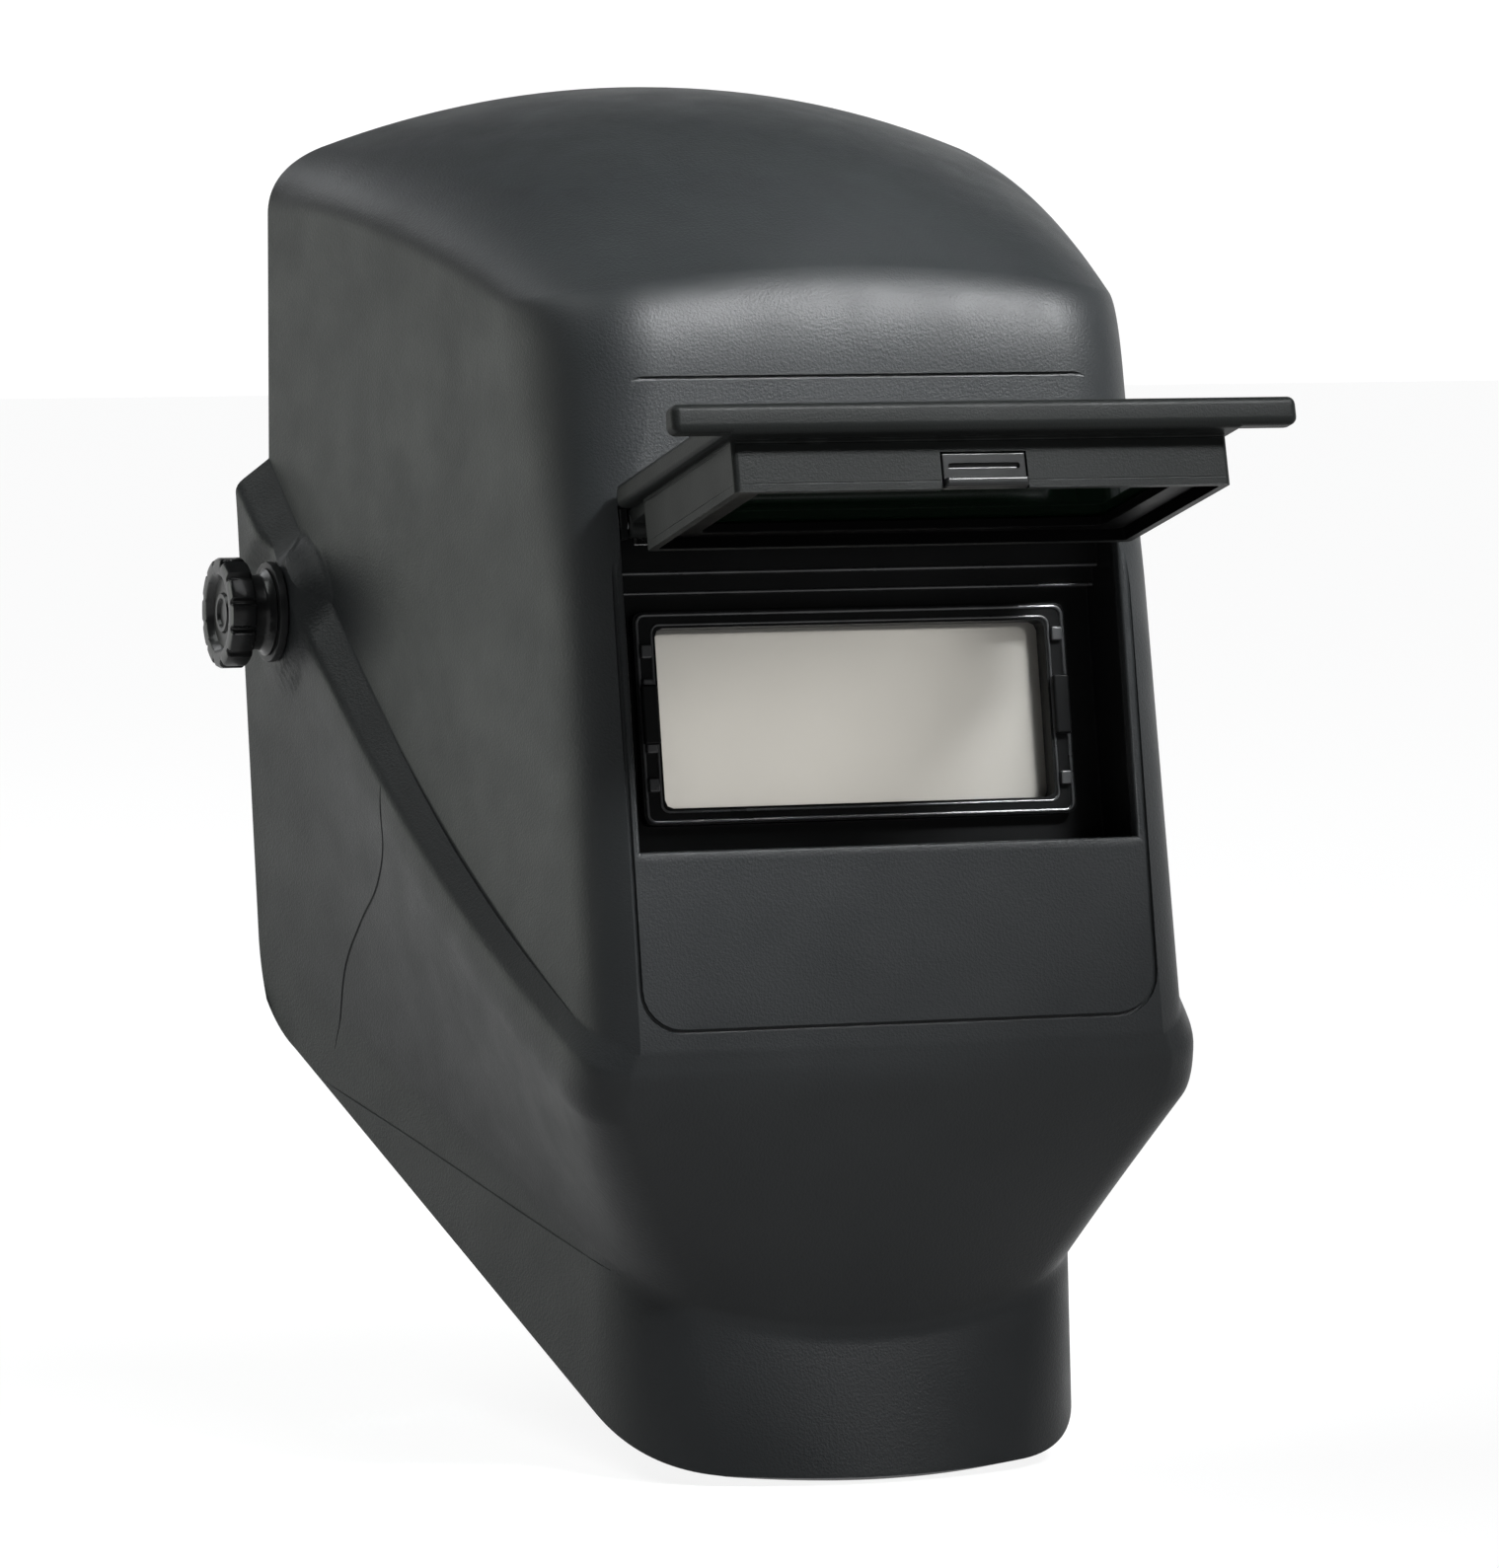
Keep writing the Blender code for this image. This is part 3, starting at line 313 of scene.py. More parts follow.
def polycarbonate(name, haze, colour, milk):
    """Clear sheet with a faint uneven haze and tint; milk is the share that is not see-through."""
    look, nodes, shader = shader_of(name, IOR=1.586, Transmission_Weight=1 - milk)
    where = object_place(nodes)
    cloud = spread(nodes, noise(nodes, where, TINT_SCALE, 2.0), 0.0, 1.0)
    pale = tuple(min(1.0, c * TINT_GAIN) for c in colour)
    film = spread(nodes, noise(nodes, where, FILM_SCALE, 1.0), haze, haze + FILM_DRIFT)
    wired(shader, Base_Color=blend_colour(nodes, cloud, colour, pale), Roughness=film)
    return look


def terry(name, dark, light):
    """Looped cotton: tufts as bump and colour, with sheen."""
    look, nodes, shader = shader_of(name, Roughness=0.95, Sheen_Weight=0.6, Sheen_Roughness=0.5)
    where = object_place(nodes)
    tuft = wired(nodes.new("ShaderNodeTexVoronoi"), Vector=where, Scale=TUFT_SCALE)
    fuzz = noise(nodes, where, FUZZ_SCALE, 3.0, 0.7)
    height = arithmetic(nodes, "ADD", tuft.outputs["Distance"], fuzz)
    mixed = spread(nodes, height, 0.0, 1.0, *TUFT_RANGE)
    wired(shader, Base_Color=blend_colour(nodes, mixed, light, dark),
          Normal=bump(nodes, height, TUFT_DEPTH))
    return look


SHELL = moulded("shell_nylon_look", (0.0092, 0.0101, 0.0107), (0.0124, 0.0135, 0.0141), (0.38, 0.48),
                grain=0.05, grain_size=0.62, wear_and_highlight=0.22)
LIFT_FRONT = moulded("lift_front_look", (0.0056, 0.0062, 0.0060), (0.0078, 0.0085, 0.0083), (0.38, 0.48),
                     grain=0.03, grain_size=0.5, wear_and_highlight=0.9, sheen=0.06)
TRAY = moulded("tray_look", (0.0030, 0.0032, 0.0033), (0.0050, 0.0052, 0.0054), (0.30, 0.40),
               grain=0.012, grain_size=0.45, wear_and_highlight=0.7, sheen=0.08)
GLOSS = moulded("gloss_nylon_look", (0.0045, 0.0047, 0.0048), (0.007, 0.0072, 0.0074), (0.26, 0.36),
                grain=0.008, grain_size=0.5, wear_and_highlight=0.25, coat=0.12)
BAND = moulded("band_polyethylene_look", (0.021, 0.022, 0.024), (0.030, 0.031, 0.033), (0.40, 0.52),
               grain=0.02, grain_size=0.5, wear_and_highlight=0.2)
FIBRE = moulded("fibre_look", (0.055, 0.033, 0.018), (0.085, 0.052, 0.028), (0.60, 0.75),
                grain=0.03, grain_size=0.3, wear_and_highlight=0.2, drift=120.0)
RUBBER = moulded("rubber_look", (0.013, 0.013, 0.0135), (0.02, 0.02, 0.021), (0.65, 0.8),
                 grain=0.02, grain_size=0.3, wear_and_highlight=0.1)
# A paler copy of the tray's plastic for its raised lines and tabs: a painted highlight along them.
LIT_TRIM = moulded("tray_trim_painted_highlight_look", (0.020, 0.021, 0.022), (0.034, 0.035, 0.036), (0.25, 0.35),
               grain=0.01, grain_size=0.45, wear_and_highlight=0.8, sheen=0.5)
WASHER = moulded("washer_look", (0.006, 0.0062, 0.0065), (0.010, 0.0102, 0.0105), (0.35, 0.45),
                 grain=0.012, grain_size=0.4, wear_and_highlight=0.2)
# A near-black copy of the lift front's plastic: painted shade for the inside of the filter box and the
# retainer there.
SHADE_BLACK = moulded("painted_shade_black_look", (0.0008, 0.0008, 0.0009), (0.0013, 0.0013, 0.0014), (0.30, 0.40),
               grain=0.01, grain_size=0.45, wear_and_highlight=0.5, sheen=0.02)
SPRING = metal("spring_steel_look", (0.62, 0.62, 0.63), (0.18, 0.34), (1, 0.08, 0.08))
ZINC = metal("zinc_look", (0.66, 0.67, 0.69), (0.24, 0.42))
CLEAR = polycarbonate("clear_plate_look", 0.32, (0.47, 0.455, 0.42), 0.22)
COVER_CLEAR = polycarbonate("cover_plate_look", 0.05, (0.93, 0.93, 0.92), 0.03)
FILTER = polycarbonate("filter_glass_look", 0.03, (0.0015, 0.006, 0.0025), 0.5)
CLOTH = terry("sweatband_look", (0.030, 0.032, 0.036), (0.090, 0.094, 0.104))
BINDING = terry("binding_look", (0.010, 0.0105, 0.011), (0.022, 0.023, 0.025))
THREAD = terry("thread_look", (0.20, 0.20, 0.19), (0.32, 0.32, 0.30))

# The filter retainer takes the near-black plastic of painted shade, as it sits in the shaded filter box.
LOOKS = {
    "lens_tray": TRAY, "plate_retainer": TRAY, "plate_clip": TRAY, "safety_plate": CLEAR,
    "retainer_screw": ZINC, "detent_spring": SPRING, "hinge_pin": ZINC, "lift_front_frame": LIFT_FRONT,
    "cover_plate": COVER_CLEAR, "filter_gasket": RUBBER, "filter_plate": FILTER, "filter_retainer": SHADE_BLACK,
    "lift_latch": GLOSS, "tension_knob": GLOSS, "outer_friction_washer": WASHER,
    "inner_friction_washer": FIBRE, "tilt_stop": BAND, "pivot_stud": ZINC, "pivot_bracket": BAND,
    "bracket_rivet": ZINC, "headband_front": BAND, "crown_strap": BAND, "crown_peg": GLOSS,
    "nape_band": BAND, "ratchet_housing": BAND, "ratchet_pinion": BAND, "ratchet_knob": GLOSS,
    "sweatband": CLOTH, "nape_pad": CLOTH, "helmet_shell": SHELL,
}


def dress_nodes():
    """Gives every CAD node its material, and softens the edges of those that stay."""
    for name, made in NODES.items():
        look = next(look for start, look in LOOKS.items() if name.startswith(start))
        made.data.materials.clear()
        made.data.materials.append(look)
        modified(made, "WELD", merge_threshold=WELD_GAP)
        modified(made, "BEVEL", width=SOFT_EDGE, segments=2, limit_method="ANGLE",
                 angle_limit=math.radians(40), harden_normals=True)
        made.data.shade_smooth()
        modified(made, "WEIGHTED_NORMAL", keep_sharp=True)


# ---------------------------------------------------------------- mesh helpers

WELD_GAP = 0.001 * MM
SOFT_EDGE = 0.25 * MM
SKEW = Vector((0.3, 1, 0.2))  # a way that no tube here runs along
CORNER_STEPS = 6
BEAD_WIDTH, BEAD_EDGE = 2.0, 0.8


def modified(made, kind, **settings):
    step = made.modifiers.new(kind.lower(), kind)
    for key, value in settings.items():
        setattr(step, key, value)


def finish_mesh(work, name, look):
    mesh = bpy.data.meshes.new(name)
    work.to_mesh(mesh)
    work.free()
    mesh.shade_smooth()
    made = bpy.data.objects.new(name, mesh)
    mesh.materials.append(look)
    bpy.context.scene.collection.objects.link(made)
    return made


def applied(made):
    """Applies every modifier of an object to its mesh."""
    graph = bpy.context.evaluated_depsgraph_get()
    mesh = bpy.data.meshes.new_from_object(made.evaluated_get(graph))
    made.modifiers.clear()
    made.data = mesh


def skin(work, rings, closed=False):
    """Faces from ring to ring of vertices, with end caps unless the last ring meets the first."""
    count = len(rings[0])
    for near, far in list(zip(rings, rings[1:])) + ([(rings[-1], rings[0])] if closed else []):
        for k in range(count):
            work.faces.new((near[k], near[(k + 1) % count], far[(k + 1) % count], far[k]))
    if not closed:
        work.faces.new(rings[0][::-1])
        work.faces.new(rings[-1])
    bmesh.ops.recalc_face_normals(work, faces=work.faces)


def carve(made, cutters, operation="DIFFERENCE"):
    """Cuts other solids out of a piece, or joins them to it, and removes them."""
    for cutter in cutters:
        modified(made, "BOOLEAN", object=cutter, operation=operation, solver="EXACT")
    applied(made)
    for cutter in cutters:
        bpy.data.objects.remove(cutter)


# ---------------------------------------------------------------- shell

# Sections of the half shell in millimetres, from the chin up: the middle's (y, z), the front corner, the
# rear edge, how far the corner's round runs to the front and to the side, how far the side line sags
# between its ends, and whether the front corner is a round (0) or a flat between two edges (1).
CHIN_EDGE = ((-152, -194), (54.8, -136, -192), (97, 24, -99), 18, 22, 0, 0)
NECK = ((-140, -162), (55, -132, -150), (97.5, 24, -84), 14, 19, 0, 0)
CHEEK = ((-162.5, -101), (76.2, -157.5, -108), (104.0, 19.4, 23), 10, 16, 12, 0)
LEDGE = ((-162.4, -97), (75.4, -161.6, -98.5), (104.6, 19, 30), 9, 20, 14, 0.4)
FOLD = ((-161.9, -92.5), (72.5, -161.8, -92), (96.6, 17, 36.5), 8, 26, 14, 1)
BROW = ((-129.6, 80), (71, -130.4, 76), (96.6, 17, 68), 22, 29, 0, 0)
REAR_ARCH = ((17, 127), (96.6, 17, 107), (96.6, 17, 92.5), 14, 11, 0, 0)
DOME_CROWN = (-70, 127)
DOME_SHOULDER = (82.5, -62, 100)
DOME_RUNS = (24, 26, 0, 0)
SHELL_DETAIL = 4
# How far each fold's round reaches back and ahead, as shares of the way to the next section.
NECK_ROUND = (0.09, 0.035)
CHEEK_ROUND = (0.06, 0.6)
LEDGE_ROUND = (0.25, 0.25)
FOLD_ROUND = (0.10, 0.005)
BROW_ROUND = (0.10, 0.12)
CHAMFER = 8 * MM  # how far the flat of the front corner runs along the side wall
FLAT_LEAVE, FLAT_LAND = 0.86, 0.15  # how straight the flat leaves the front and lands on the side
FLAT_SHARE = 0.66  # share of the face's height over which the front corner keeps its flat

REAR_CORNER = Vector((24, -99)) * MM  # (y, z) of the side wall's lower rear corner
REAR_CORNER_AHEAD = Vector((-160, -93)).normalized()
REAR_CORNER_ROUND = 17 * MM
SEAT_REACH, SEAT_EASE = 19 * MM, 5.5 * MM
SIDE_WALL_FROM = 80 * MM  # the side wall lies beyond this half width

WINDOW_ROUND = 0.9 * MM
RIM_ROUND = 0.9 * MM
CUT_REACH = 10 * MM
STUD_HOLE, STUD_REACH = 4.2 * MM, 120 * MM
PANEL_HALF, PANEL_LOW, PANEL_HIGH, PANEL_ROUND = 63.5 * MM, -89.2 * MM, 61.0 * MM, 10 * MM
PANEL_GROOVE, PANEL_DEPTH = 0.62 * MM, 0.2 * MM
LINE_STEP = 6 * MM
CREASE_SPAN, CREASE_STEPS = (0.05, 0.66), 40
CREASE_GROOVE, CREASE_TAPER = 0.5 * MM, 16
CREASE_OUT, CREASE_DOWN = 0.15 * MM, 0.35 * MM
# Fine moulded grooves on the side walls: their (y, z) points in millimetres, and their radius.
MOULDINGS = (
    (((-57, -38), (-54, -52), (-44, -63.5), (-30, -73.5), (-17, -86.5), (-8, -108)), 0.42 * MM),
    (((-4, -114.5), (-40, -124), (-82, -136), (-128, -149)), 0.3 * MM),
)
MOULDING_TAPER = 5
OUTSIDE = 0.2  # a half width well outside the shell


def bezier(start, middle, end, t):
    return start * (1 - t) ** 2 + middle * 2 * t * (1 - t) + end * t**2


def fractions(count):
    return [i / count for i in range(count)]


def eased(t):
    return t * t * (3 - 2 * t)


def sagged(point, corner, rear, sag):
    """A point of the side line, lowered by that line's bow between the front corner and the rear."""
    if not sag:
        return point
    along = min(1.0, max(0.0, (point.y - corner.y) / (rear.y - corner.y)))
    return point - Vector((0, 0, sag * math.sin(math.pi * along)))


def cubic(start, first, second, end, t):
    u = 1 - t
    return start * u**3 + first * 3 * t * u * u + second * 3 * t * t * u + end * t**3


def column_points(middle, corner, rear, front_run, side_run, sag, crisp, counts):
    """One section of the half shell. Where crisp is 1 the front meets the corner's flat at an edge.

    Sag and crisp come as lengths, so that whole rows can be blended alike; 1 mm of crisp is 1.
    """
    front_count, round_count, side_count = counts
    crown = Vector((corner.x / 2, middle.y, middle.z))
    stop = 1 - front_run / (corner - middle).length
    leave = bezier(middle, crown, corner, stop)
    land = corner + (rear - corner).normalized() * side_run
    points = [bezier(middle, crown, corner, stop * t) for t in fractions(front_count)]
    flat_end = corner + (rear - corner).normalized() * CHAMFER
    flat = leave.lerp(flat_end, FLAT_LEAVE)
    turn = flat_end.lerp(land, FLAT_LAND)
    side = [bezier(leave, corner, land, t).lerp(cubic(leave, flat, turn, land, t), crisp / MM)
            for t in fractions(round_count)]
    side += [land.lerp(rear, t) for t in fractions(side_count)]
    return points + [sagged(point, corner, rear, sag) for point in side] + [rear]


def station(numbers):
    """A section as vectors in metres, its runs along X, so that sections can be blended row by row."""
    middle, corner, rear, *runs = numbers
    values = [Vector((0, *middle)) * MM, Vector(corner) * MM, Vector(rear) * MM]
    return values + [Vector((run * MM, 0, 0)) for run in runs]


def rounded_step(before, here, after, back, ahead, count):
    """Rows that round the fold at a section, from part of the way back to part of the way ahead."""
    rows = []
    for i in range(count + 1):
        rows.append([bezier(b.lerp(a, back), b, b.lerp(c, ahead), i / count)
                     for a, b, c in zip(before, here, after)])
    return rows


def straight_rows(start, end, count):
    return [[a.lerp(b, i / count) for a, b in zip(start, end)] for i in range(1, count)]


def corner_rows(start, end, count):
    """Straight rows up the face, whose front corner turns from a flat to a round near the brow."""
    rows = []
    for i in range(1, count):
        t = i / count
        late = max(0.0, (t - FLAT_SHARE) / (1 - FLAT_SHARE))
        row = [a.lerp(b, t) for a, b in zip(start[:3], end[:3])]
        rows.append(row + [a.lerp(b, eased(late)) for a, b in zip(start[3:], end[3:])])
    return rows


def shell_rows(detail):
    chin, neck, cheek, ledge, fold, brow, arch = map(
        station, (CHIN_EDGE, NECK, CHEEK, LEDGE, FOLD, BROW, REAR_ARCH)
    )
    crown = [Vector((0, *DOME_CROWN)) * MM, Vector(DOME_SHOULDER) * MM, brow[2].lerp(arch[2], 0.5)]
    crown += [Vector((run * MM, 0, 0)) for run in DOME_RUNS]
    at_neck = rounded_step(chin, neck, cheek, *NECK_ROUND, 2 * detail)
    at_cheek = rounded_step(neck, cheek, ledge, *CHEEK_ROUND, 2 * detail)
    at_ledge = rounded_step(cheek, ledge, fold, *LEDGE_ROUND, detail)
    at_fold = rounded_step(ledge, fold, brow, *FOLD_ROUND, detail)
    at_brow = rounded_step(fold, brow, crown, *BROW_ROUND, 4 * detail)
    dome = []
    dome_start = BROW_ROUND[1] / 2
    for i in range(1, 7 * detail + 1):
        t = dome_start + (1 - dome_start) * i / (7 * detail)
        dome.append([bezier(a, b, c, t) for a, b, c in zip(brow, crown, arch)])
    rows = [chin] + straight_rows(chin, at_neck[0], 2 * detail) + at_neck
    rows += straight_rows(at_neck[-1], at_cheek[0], 7 * detail) + at_cheek + at_ledge + at_fold
    rows += corner_rows(at_fold[-1], at_brow[0], 10 * detail) + at_brow + dome
    return rows


def rounded_corner(point):
    """Draws the lower rear corner of the side wall in to a round, in the wall's own skewed axes."""
    offset = Vector((point.y, point.z)) - REAR_CORNER
    ahead = offset.x / REAR_CORNER_AHEAD.x
    up = offset.y - ahead * REAR_CORNER_AHEAD.y
    run = REAR_CORNER_ROUND
    if not (0 <= ahead < run and up < run):
        return point
    a, b = 1 - ahead / run, 1 - max(0.0, up) / run
    drawn = (a * math.sqrt(1 - b * b / 2), b * math.sqrt(1 - a * a / 2))
    ahead, up = (1 - drawn[0]) * run, (1 - drawn[1]) * run
    y, z = REAR_CORNER + ahead * REAR_CORNER_AHEAD
    return Vector((point.x, y, z + up))


def seated(point):
    """Brings the side wall to the flat seat of the tension knob, easing out to the wall around it."""
    if point.x <= SIDE_WALL_FROM:
        return point
    reach = math.hypot(point.y, point.z)
    ease = eased(min(1.0, max(0.0, (SEAT_REACH - reach) / SEAT_EASE)))
    return Vector((point.x + (PIVOT_SEAT - point.x) * ease, point.y, point.z))


def shell_half(detail):
    """The outer skin of the wearer's left half, laid through the rows of sections."""
    counts = (4 * detail, 5 * detail, 22 * detail)
    work = bmesh.new()
    grid = []
    for values in shell_rows(detail):
        runs = [value.x for value in values[3:]]
        points = column_points(*values[:3], *runs, counts)
        grid.append([work.verts.new(seated(rounded_corner(point))) for point in points])
    for low, high in zip(grid, grid[1:]):
        for i in range(len(low) - 1):
            work.faces.new((low[i], low[i + 1], high[i + 1], high[i]))
    return work


def side_line(numbers, start, end, count):
    """Points along a station's side line, as shares of the way from the front corner to the rear."""
    _, corner, rear, *runs = station(numbers)
    shares = [start + (end - start) * i / count for i in range(count + 1)]
    return [sagged(corner.lerp(rear, t), corner, rear, runs[2].x) for t in shares]


def on_wall(shell, line, side):
    """A line of (y, z) points in millimetres, smoothed and laid on the outside of one side wall."""
    knots = [Vector((y, z)) * MM for y, z in line]
    flat = []
    for i in range(len(knots) - 1):
        before, after = knots[max(0, i - 1)], knots[min(len(knots) - 1, i + 2)]
        first = knots[i] + (knots[i + 1] - before) / 6
        second = knots[i + 1] - (after - knots[i]) / 6
        flat += [cubic(knots[i], first, second, knots[i + 1], k / 8) for k in range(8)]
    hits = [shell.ray_cast(Vector((side * OUTSIDE, *point)), Vector((-side, 0, 0))) for point in flat]
    return [hit[1] for hit in hits if hit[0]]


def tube(name, route, radius, sides=10, closed=True, taper=0, look=SHELL):
    """A round bar that follows a line, and thins out over its last points where it has a taper."""
    work = bmesh.new()
    rings = []
    count = len(route)
    for i, point in enumerate(route):
        before = route[i - 1] if closed or i else point
        after = route[(i + 1) % count] if closed or i < count - 1 else point
        ahead = (after - before).normalized()
        side = ahead.cross(SKEW).normalized()
        up = side.cross(ahead)
        from_end = min(i, count - 1 - i) + 1
        reach = radius * min(1.0, from_end / taper) if taper else radius
        ring = []
        for k in range(sides):
            angle = math.tau * k / sides
            ring.append(work.verts.new(point + (side * math.cos(angle) + up * math.sin(angle)) * reach))
        rings.append(ring)
    skin(work, rings, closed)
    return finish_mesh(work, name, look)


def rounded_rectangle(half, low, high, radius, depth):
    """Points round a rectangle with rounded corners, in the face plane."""
    points = []
    corners = ((half, high, 0), (-half, high, 90), (-half, low, 180), (half, low, 270))
    for x, z, start in corners:
        centre = Vector((x - math.copysign(radius, x), 0, z - (radius if z > 0 else -radius)))
        for i in range(CORNER_STEPS + 1):
            angle = math.radians(start + 90 * i / CORNER_STEPS)
            points.append(centre + Vector((math.cos(angle) * radius, depth, math.sin(angle) * radius)))
    return points


def dense(points, spacing, closed=True):
    """The same line with points no further apart than a spacing."""
    made = []
    following = points[1:] + (points[:1] if closed else [])
    for here, there in zip(points, following):
        steps = max(1, math.ceil((there - here).length / spacing))
        made += [here.lerp(there, i / steps) for i in range(steps)]
    return made if closed else made + points[-1:]


def window_cutter():
    """The window opening, flared at its outer edge so that the rim is rounded."""
    work = bmesh.new()
    rings = []
    rows = [(-CUT_REACH, WINDOW_ROUND), (-0.001 * MM, WINDOW_ROUND)]
    for degrees in (22.5, 45, 67.5, 90):
        angle = math.radians(degrees)
        rows.append((WINDOW_ROUND * (1 - math.cos(angle)), WINDOW_ROUND * (1 - math.sin(angle))))
    rows += [(CUT_REACH, 0.0)]
    for depth, out in rows:
        half, low, high = WINDOW_HALF + out, WINDOW_LOW - out, WINDOW_HIGH + out
        corners = ((-half, low), (half, low), (half, high), (-half, high))
        rings.append([work.verts.new((x, depth, z)) for x, z in corners])
    skin(work, rings)
    bmesh.ops.transform(work, matrix=FACE, verts=work.verts)
    return finish_mesh(work, "window_cutter", SHELL)


def cylinder(name, radius, start, end, axis, sides=48, at=Vector()):
    """A round cutter along an axis."""
    work = bmesh.new()
    turn = {"X": Matrix.Rotation(math.pi / 2, 4, "Y"), "Z": Matrix.Identity(4)}[axis]
    along = Vector([(start + end) / 2 if a == axis else 0 for a in "XYZ"])
    bmesh.ops.create_cone(work, cap_ends=True, segments=sides, radius1=radius, radius2=radius,
                          depth=end - start, matrix=Matrix.Translation(along + at) @ turn)
    return finish_mesh(work, name, SHELL)


def shell_piece():
    """The shell: its skin mirrored, given its wall and rim, then cut for window, studs and lines."""
    made = finish_mesh(shell_half(SHELL_DETAIL), "shell_body", SHELL)
    modified(made, "MIRROR", merge_threshold=0.01 * MM)
    modified(made, "SOLIDIFY", thickness=WALL, offset=-1, use_even_offset=True)
    modified(made, "BEVEL", width=RIM_ROUND, segments=3, limit_method="ANGLE",
             angle_limit=math.radians(34))
    applied(made)
    panel = rounded_rectangle(PANEL_HALF, PANEL_LOW, PANEL_HIGH, PANEL_ROUND, PANEL_DEPTH)
    cutters = [
        window_cutter(),
        tube("panel_groove", [FACE @ point for point in dense(panel, LINE_STEP)], PANEL_GROOVE),
        cylinder("stud_holes", STUD_HOLE, -STUD_REACH, STUD_REACH, "X"),
    ]
    crease = side_line(FOLD, *CREASE_SPAN, CREASE_STEPS)
    for side in (-1, 1):
        line = [Vector((side * (p.x + CREASE_OUT), p.y, p.z - CREASE_DOWN)) for p in crease]
        cutters.append(tube("crease", line, CREASE_GROOVE, closed=False, taper=CREASE_TAPER))
        for moulding, radius in MOULDINGS:
            line = on_wall(made, moulding, side)
            cutters.append(tube("moulding", line, radius, closed=False, taper=MOULDING_TAPER))
    carve(made, cutters)
    placed(made, "shell", "shell_nylon", "helmet_shell", sharp=32)


def placed(made, body, slot, *nodes, sharp=34):
    """Smooths a finished piece, hangs it on its body and lets it stand for its CAD nodes."""
    made.data.shade_smooth()
    made.data.set_sharp_from_angle(angle=math.radians(sharp))
    modified(made, "WEIGHTED_NORMAL", keep_sharp=True)
    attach(made, body)
    if nodes:
        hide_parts(*nodes)


def block(name, low, high, rounding, look, frame_at=Matrix.Identity(4), axis=None, segments=4):
    """A box between two corners given in millimetres, with its edges rounded, in a frame of its own."""
    work = bmesh.new()
    bmesh.ops.create_cube(work, size=1.0)
    low, high = Vector(low) * MM, Vector(high) * MM
    for vert in work.verts:
        vert.co = (low + high) / 2 + Vector(c * s for c, s in zip(vert.co, high - low))
    edges = list(work.edges)
    if axis is not None:
        edges = [e for e in edges if abs((e.verts[1].co - e.verts[0].co)[axis]) > 1e-7]
    if rounding:
        bmesh.ops.bevel(work, geom=edges, offset=rounding * MM, segments=segments, profile=0.5,
                        affect="EDGES")
    bmesh.ops.transform(work, matrix=frame_at, verts=work.verts)
    return finish_mesh(work, name, look)


def revolved(name, profile, look, turn, steps=96, flutes=0, depth=0.0, width=0.5):
    """A turned solid from (radius, distance, share of the flutes) points, with scalloped flutes."""
    work = bmesh.new()
    rings = []
    for radius, along, share in profile:
        if radius < 0.01:
            rings.append([work.verts.new((0, 0, along * MM))])
            continue
        ring = []
        for k in range(steps):
            angle = math.tau * k / steps
            phase = (angle * flutes / math.tau) % 1.0 - 0.5
            dip = max(0.0, 1 - (2 * phase / width) ** 2) ** 0.5 if flutes else 0.0
            r = (radius - depth * share * dip) * MM
            ring.append(work.verts.new((math.cos(angle) * r, math.sin(angle) * r, along * MM)))
        rings.append(ring)
    for near, far in zip(rings, rings[1:]):
        for k in range(steps):
            n = (k + 1) % steps
            corners = [near[k % len(near)], near[n % len(near)], far[n % len(far)], far[k % len(far)]]
            work.faces.new(list(dict.fromkeys(corners)))
    bmesh.ops.recalc_face_normals(work, faces=work.faces)
    bmesh.ops.transform(work, matrix=turn, verts=work.verts)
    return finish_mesh(work, name, look)


def swept(name, route, outs, ups, section, look, scales=None):
    """A strap: a closed section of (out, up) points carried along a route and capped."""
    work = bmesh.new()
    rings = []
    for i, (point, out, up) in enumerate(zip(route, outs, ups)):
        scale = scales[i] if scales else 1.0
        rings.append([work.verts.new(point + out * o * MM + up * u * scale * MM) for o, u in section])
    skin(work, rings)
    return finish_mesh(work, name, look)


def strap_section(half, thick, bead):
    """A flat strap, in millimetres, with a raised bead along both edges of its outer face."""
    t = thick / 2
    top = [(t, -half + BEAD_WIDTH + 1), (t, half - BEAD_WIDTH - 1), (t + bead, half - BEAD_WIDTH),
           (t + bead, half - BEAD_EDGE), (t, half)]
    low = [(-t + 0.3, half), (-t, half - 0.5), (-t, -half + 0.5), (-t + 0.3, -half)]
    return top + low + [(t, -half), (t + bead, -half + BEAD_EDGE), (t + bead, -half + BEAD_WIDTH)]


# ---------------------------------------------------------------- lift front and window

# Blocks centred across the lift front, in millimetres in its own axes (y towards the hinge, z outwards):
# half width, the (y, z) of two opposite edges, rounding, and the axis of the rounded edges if not all.
BOX_FAR, BOX_NEAR, BOX_WALL = 73.75, 13.55, 2
BOX_MIDDLE = (BOX_FAR + BOX_NEAR) / 2
SIGHT_FAR, SIGHT_NEAR = BOX_MIDDLE + 20.9, BOX_MIDDLE - 20.9
SLAB = (62.4, (-79.75, 2.8), (-3.8, 8.5), 1.7)
LIP = (75, (-80.1, 3.2), (-73.9, 9.8), 1.9, None, 5)
BOX = (59.6, (-BOX_FAR, -9.1), (-BOX_NEAR, 3.8), 1.4, 2)
WEB = (58.6, (-14.55, 0), (0, 3.2), 0.3)
POCKET = (57.6, (-BOX_FAR + BOX_WALL, -10.5), (-BOX_NEAR - BOX_WALL, 2.8), 1.0, 2)
SIGHT = (49, (-SIGHT_FAR, 0), (-SIGHT_NEAR, 9.5), 2, 2)
SIGHT_EDGE = (50, (-SIGHT_FAR - 1, 7.9), (-SIGHT_NEAR + 1, 9.9), 2.6, 2)
NOTCH = (10.4, (-BOX_FAR - 1, -12), (-BOX_FAR + 3, -0.7), 0.3, 1)
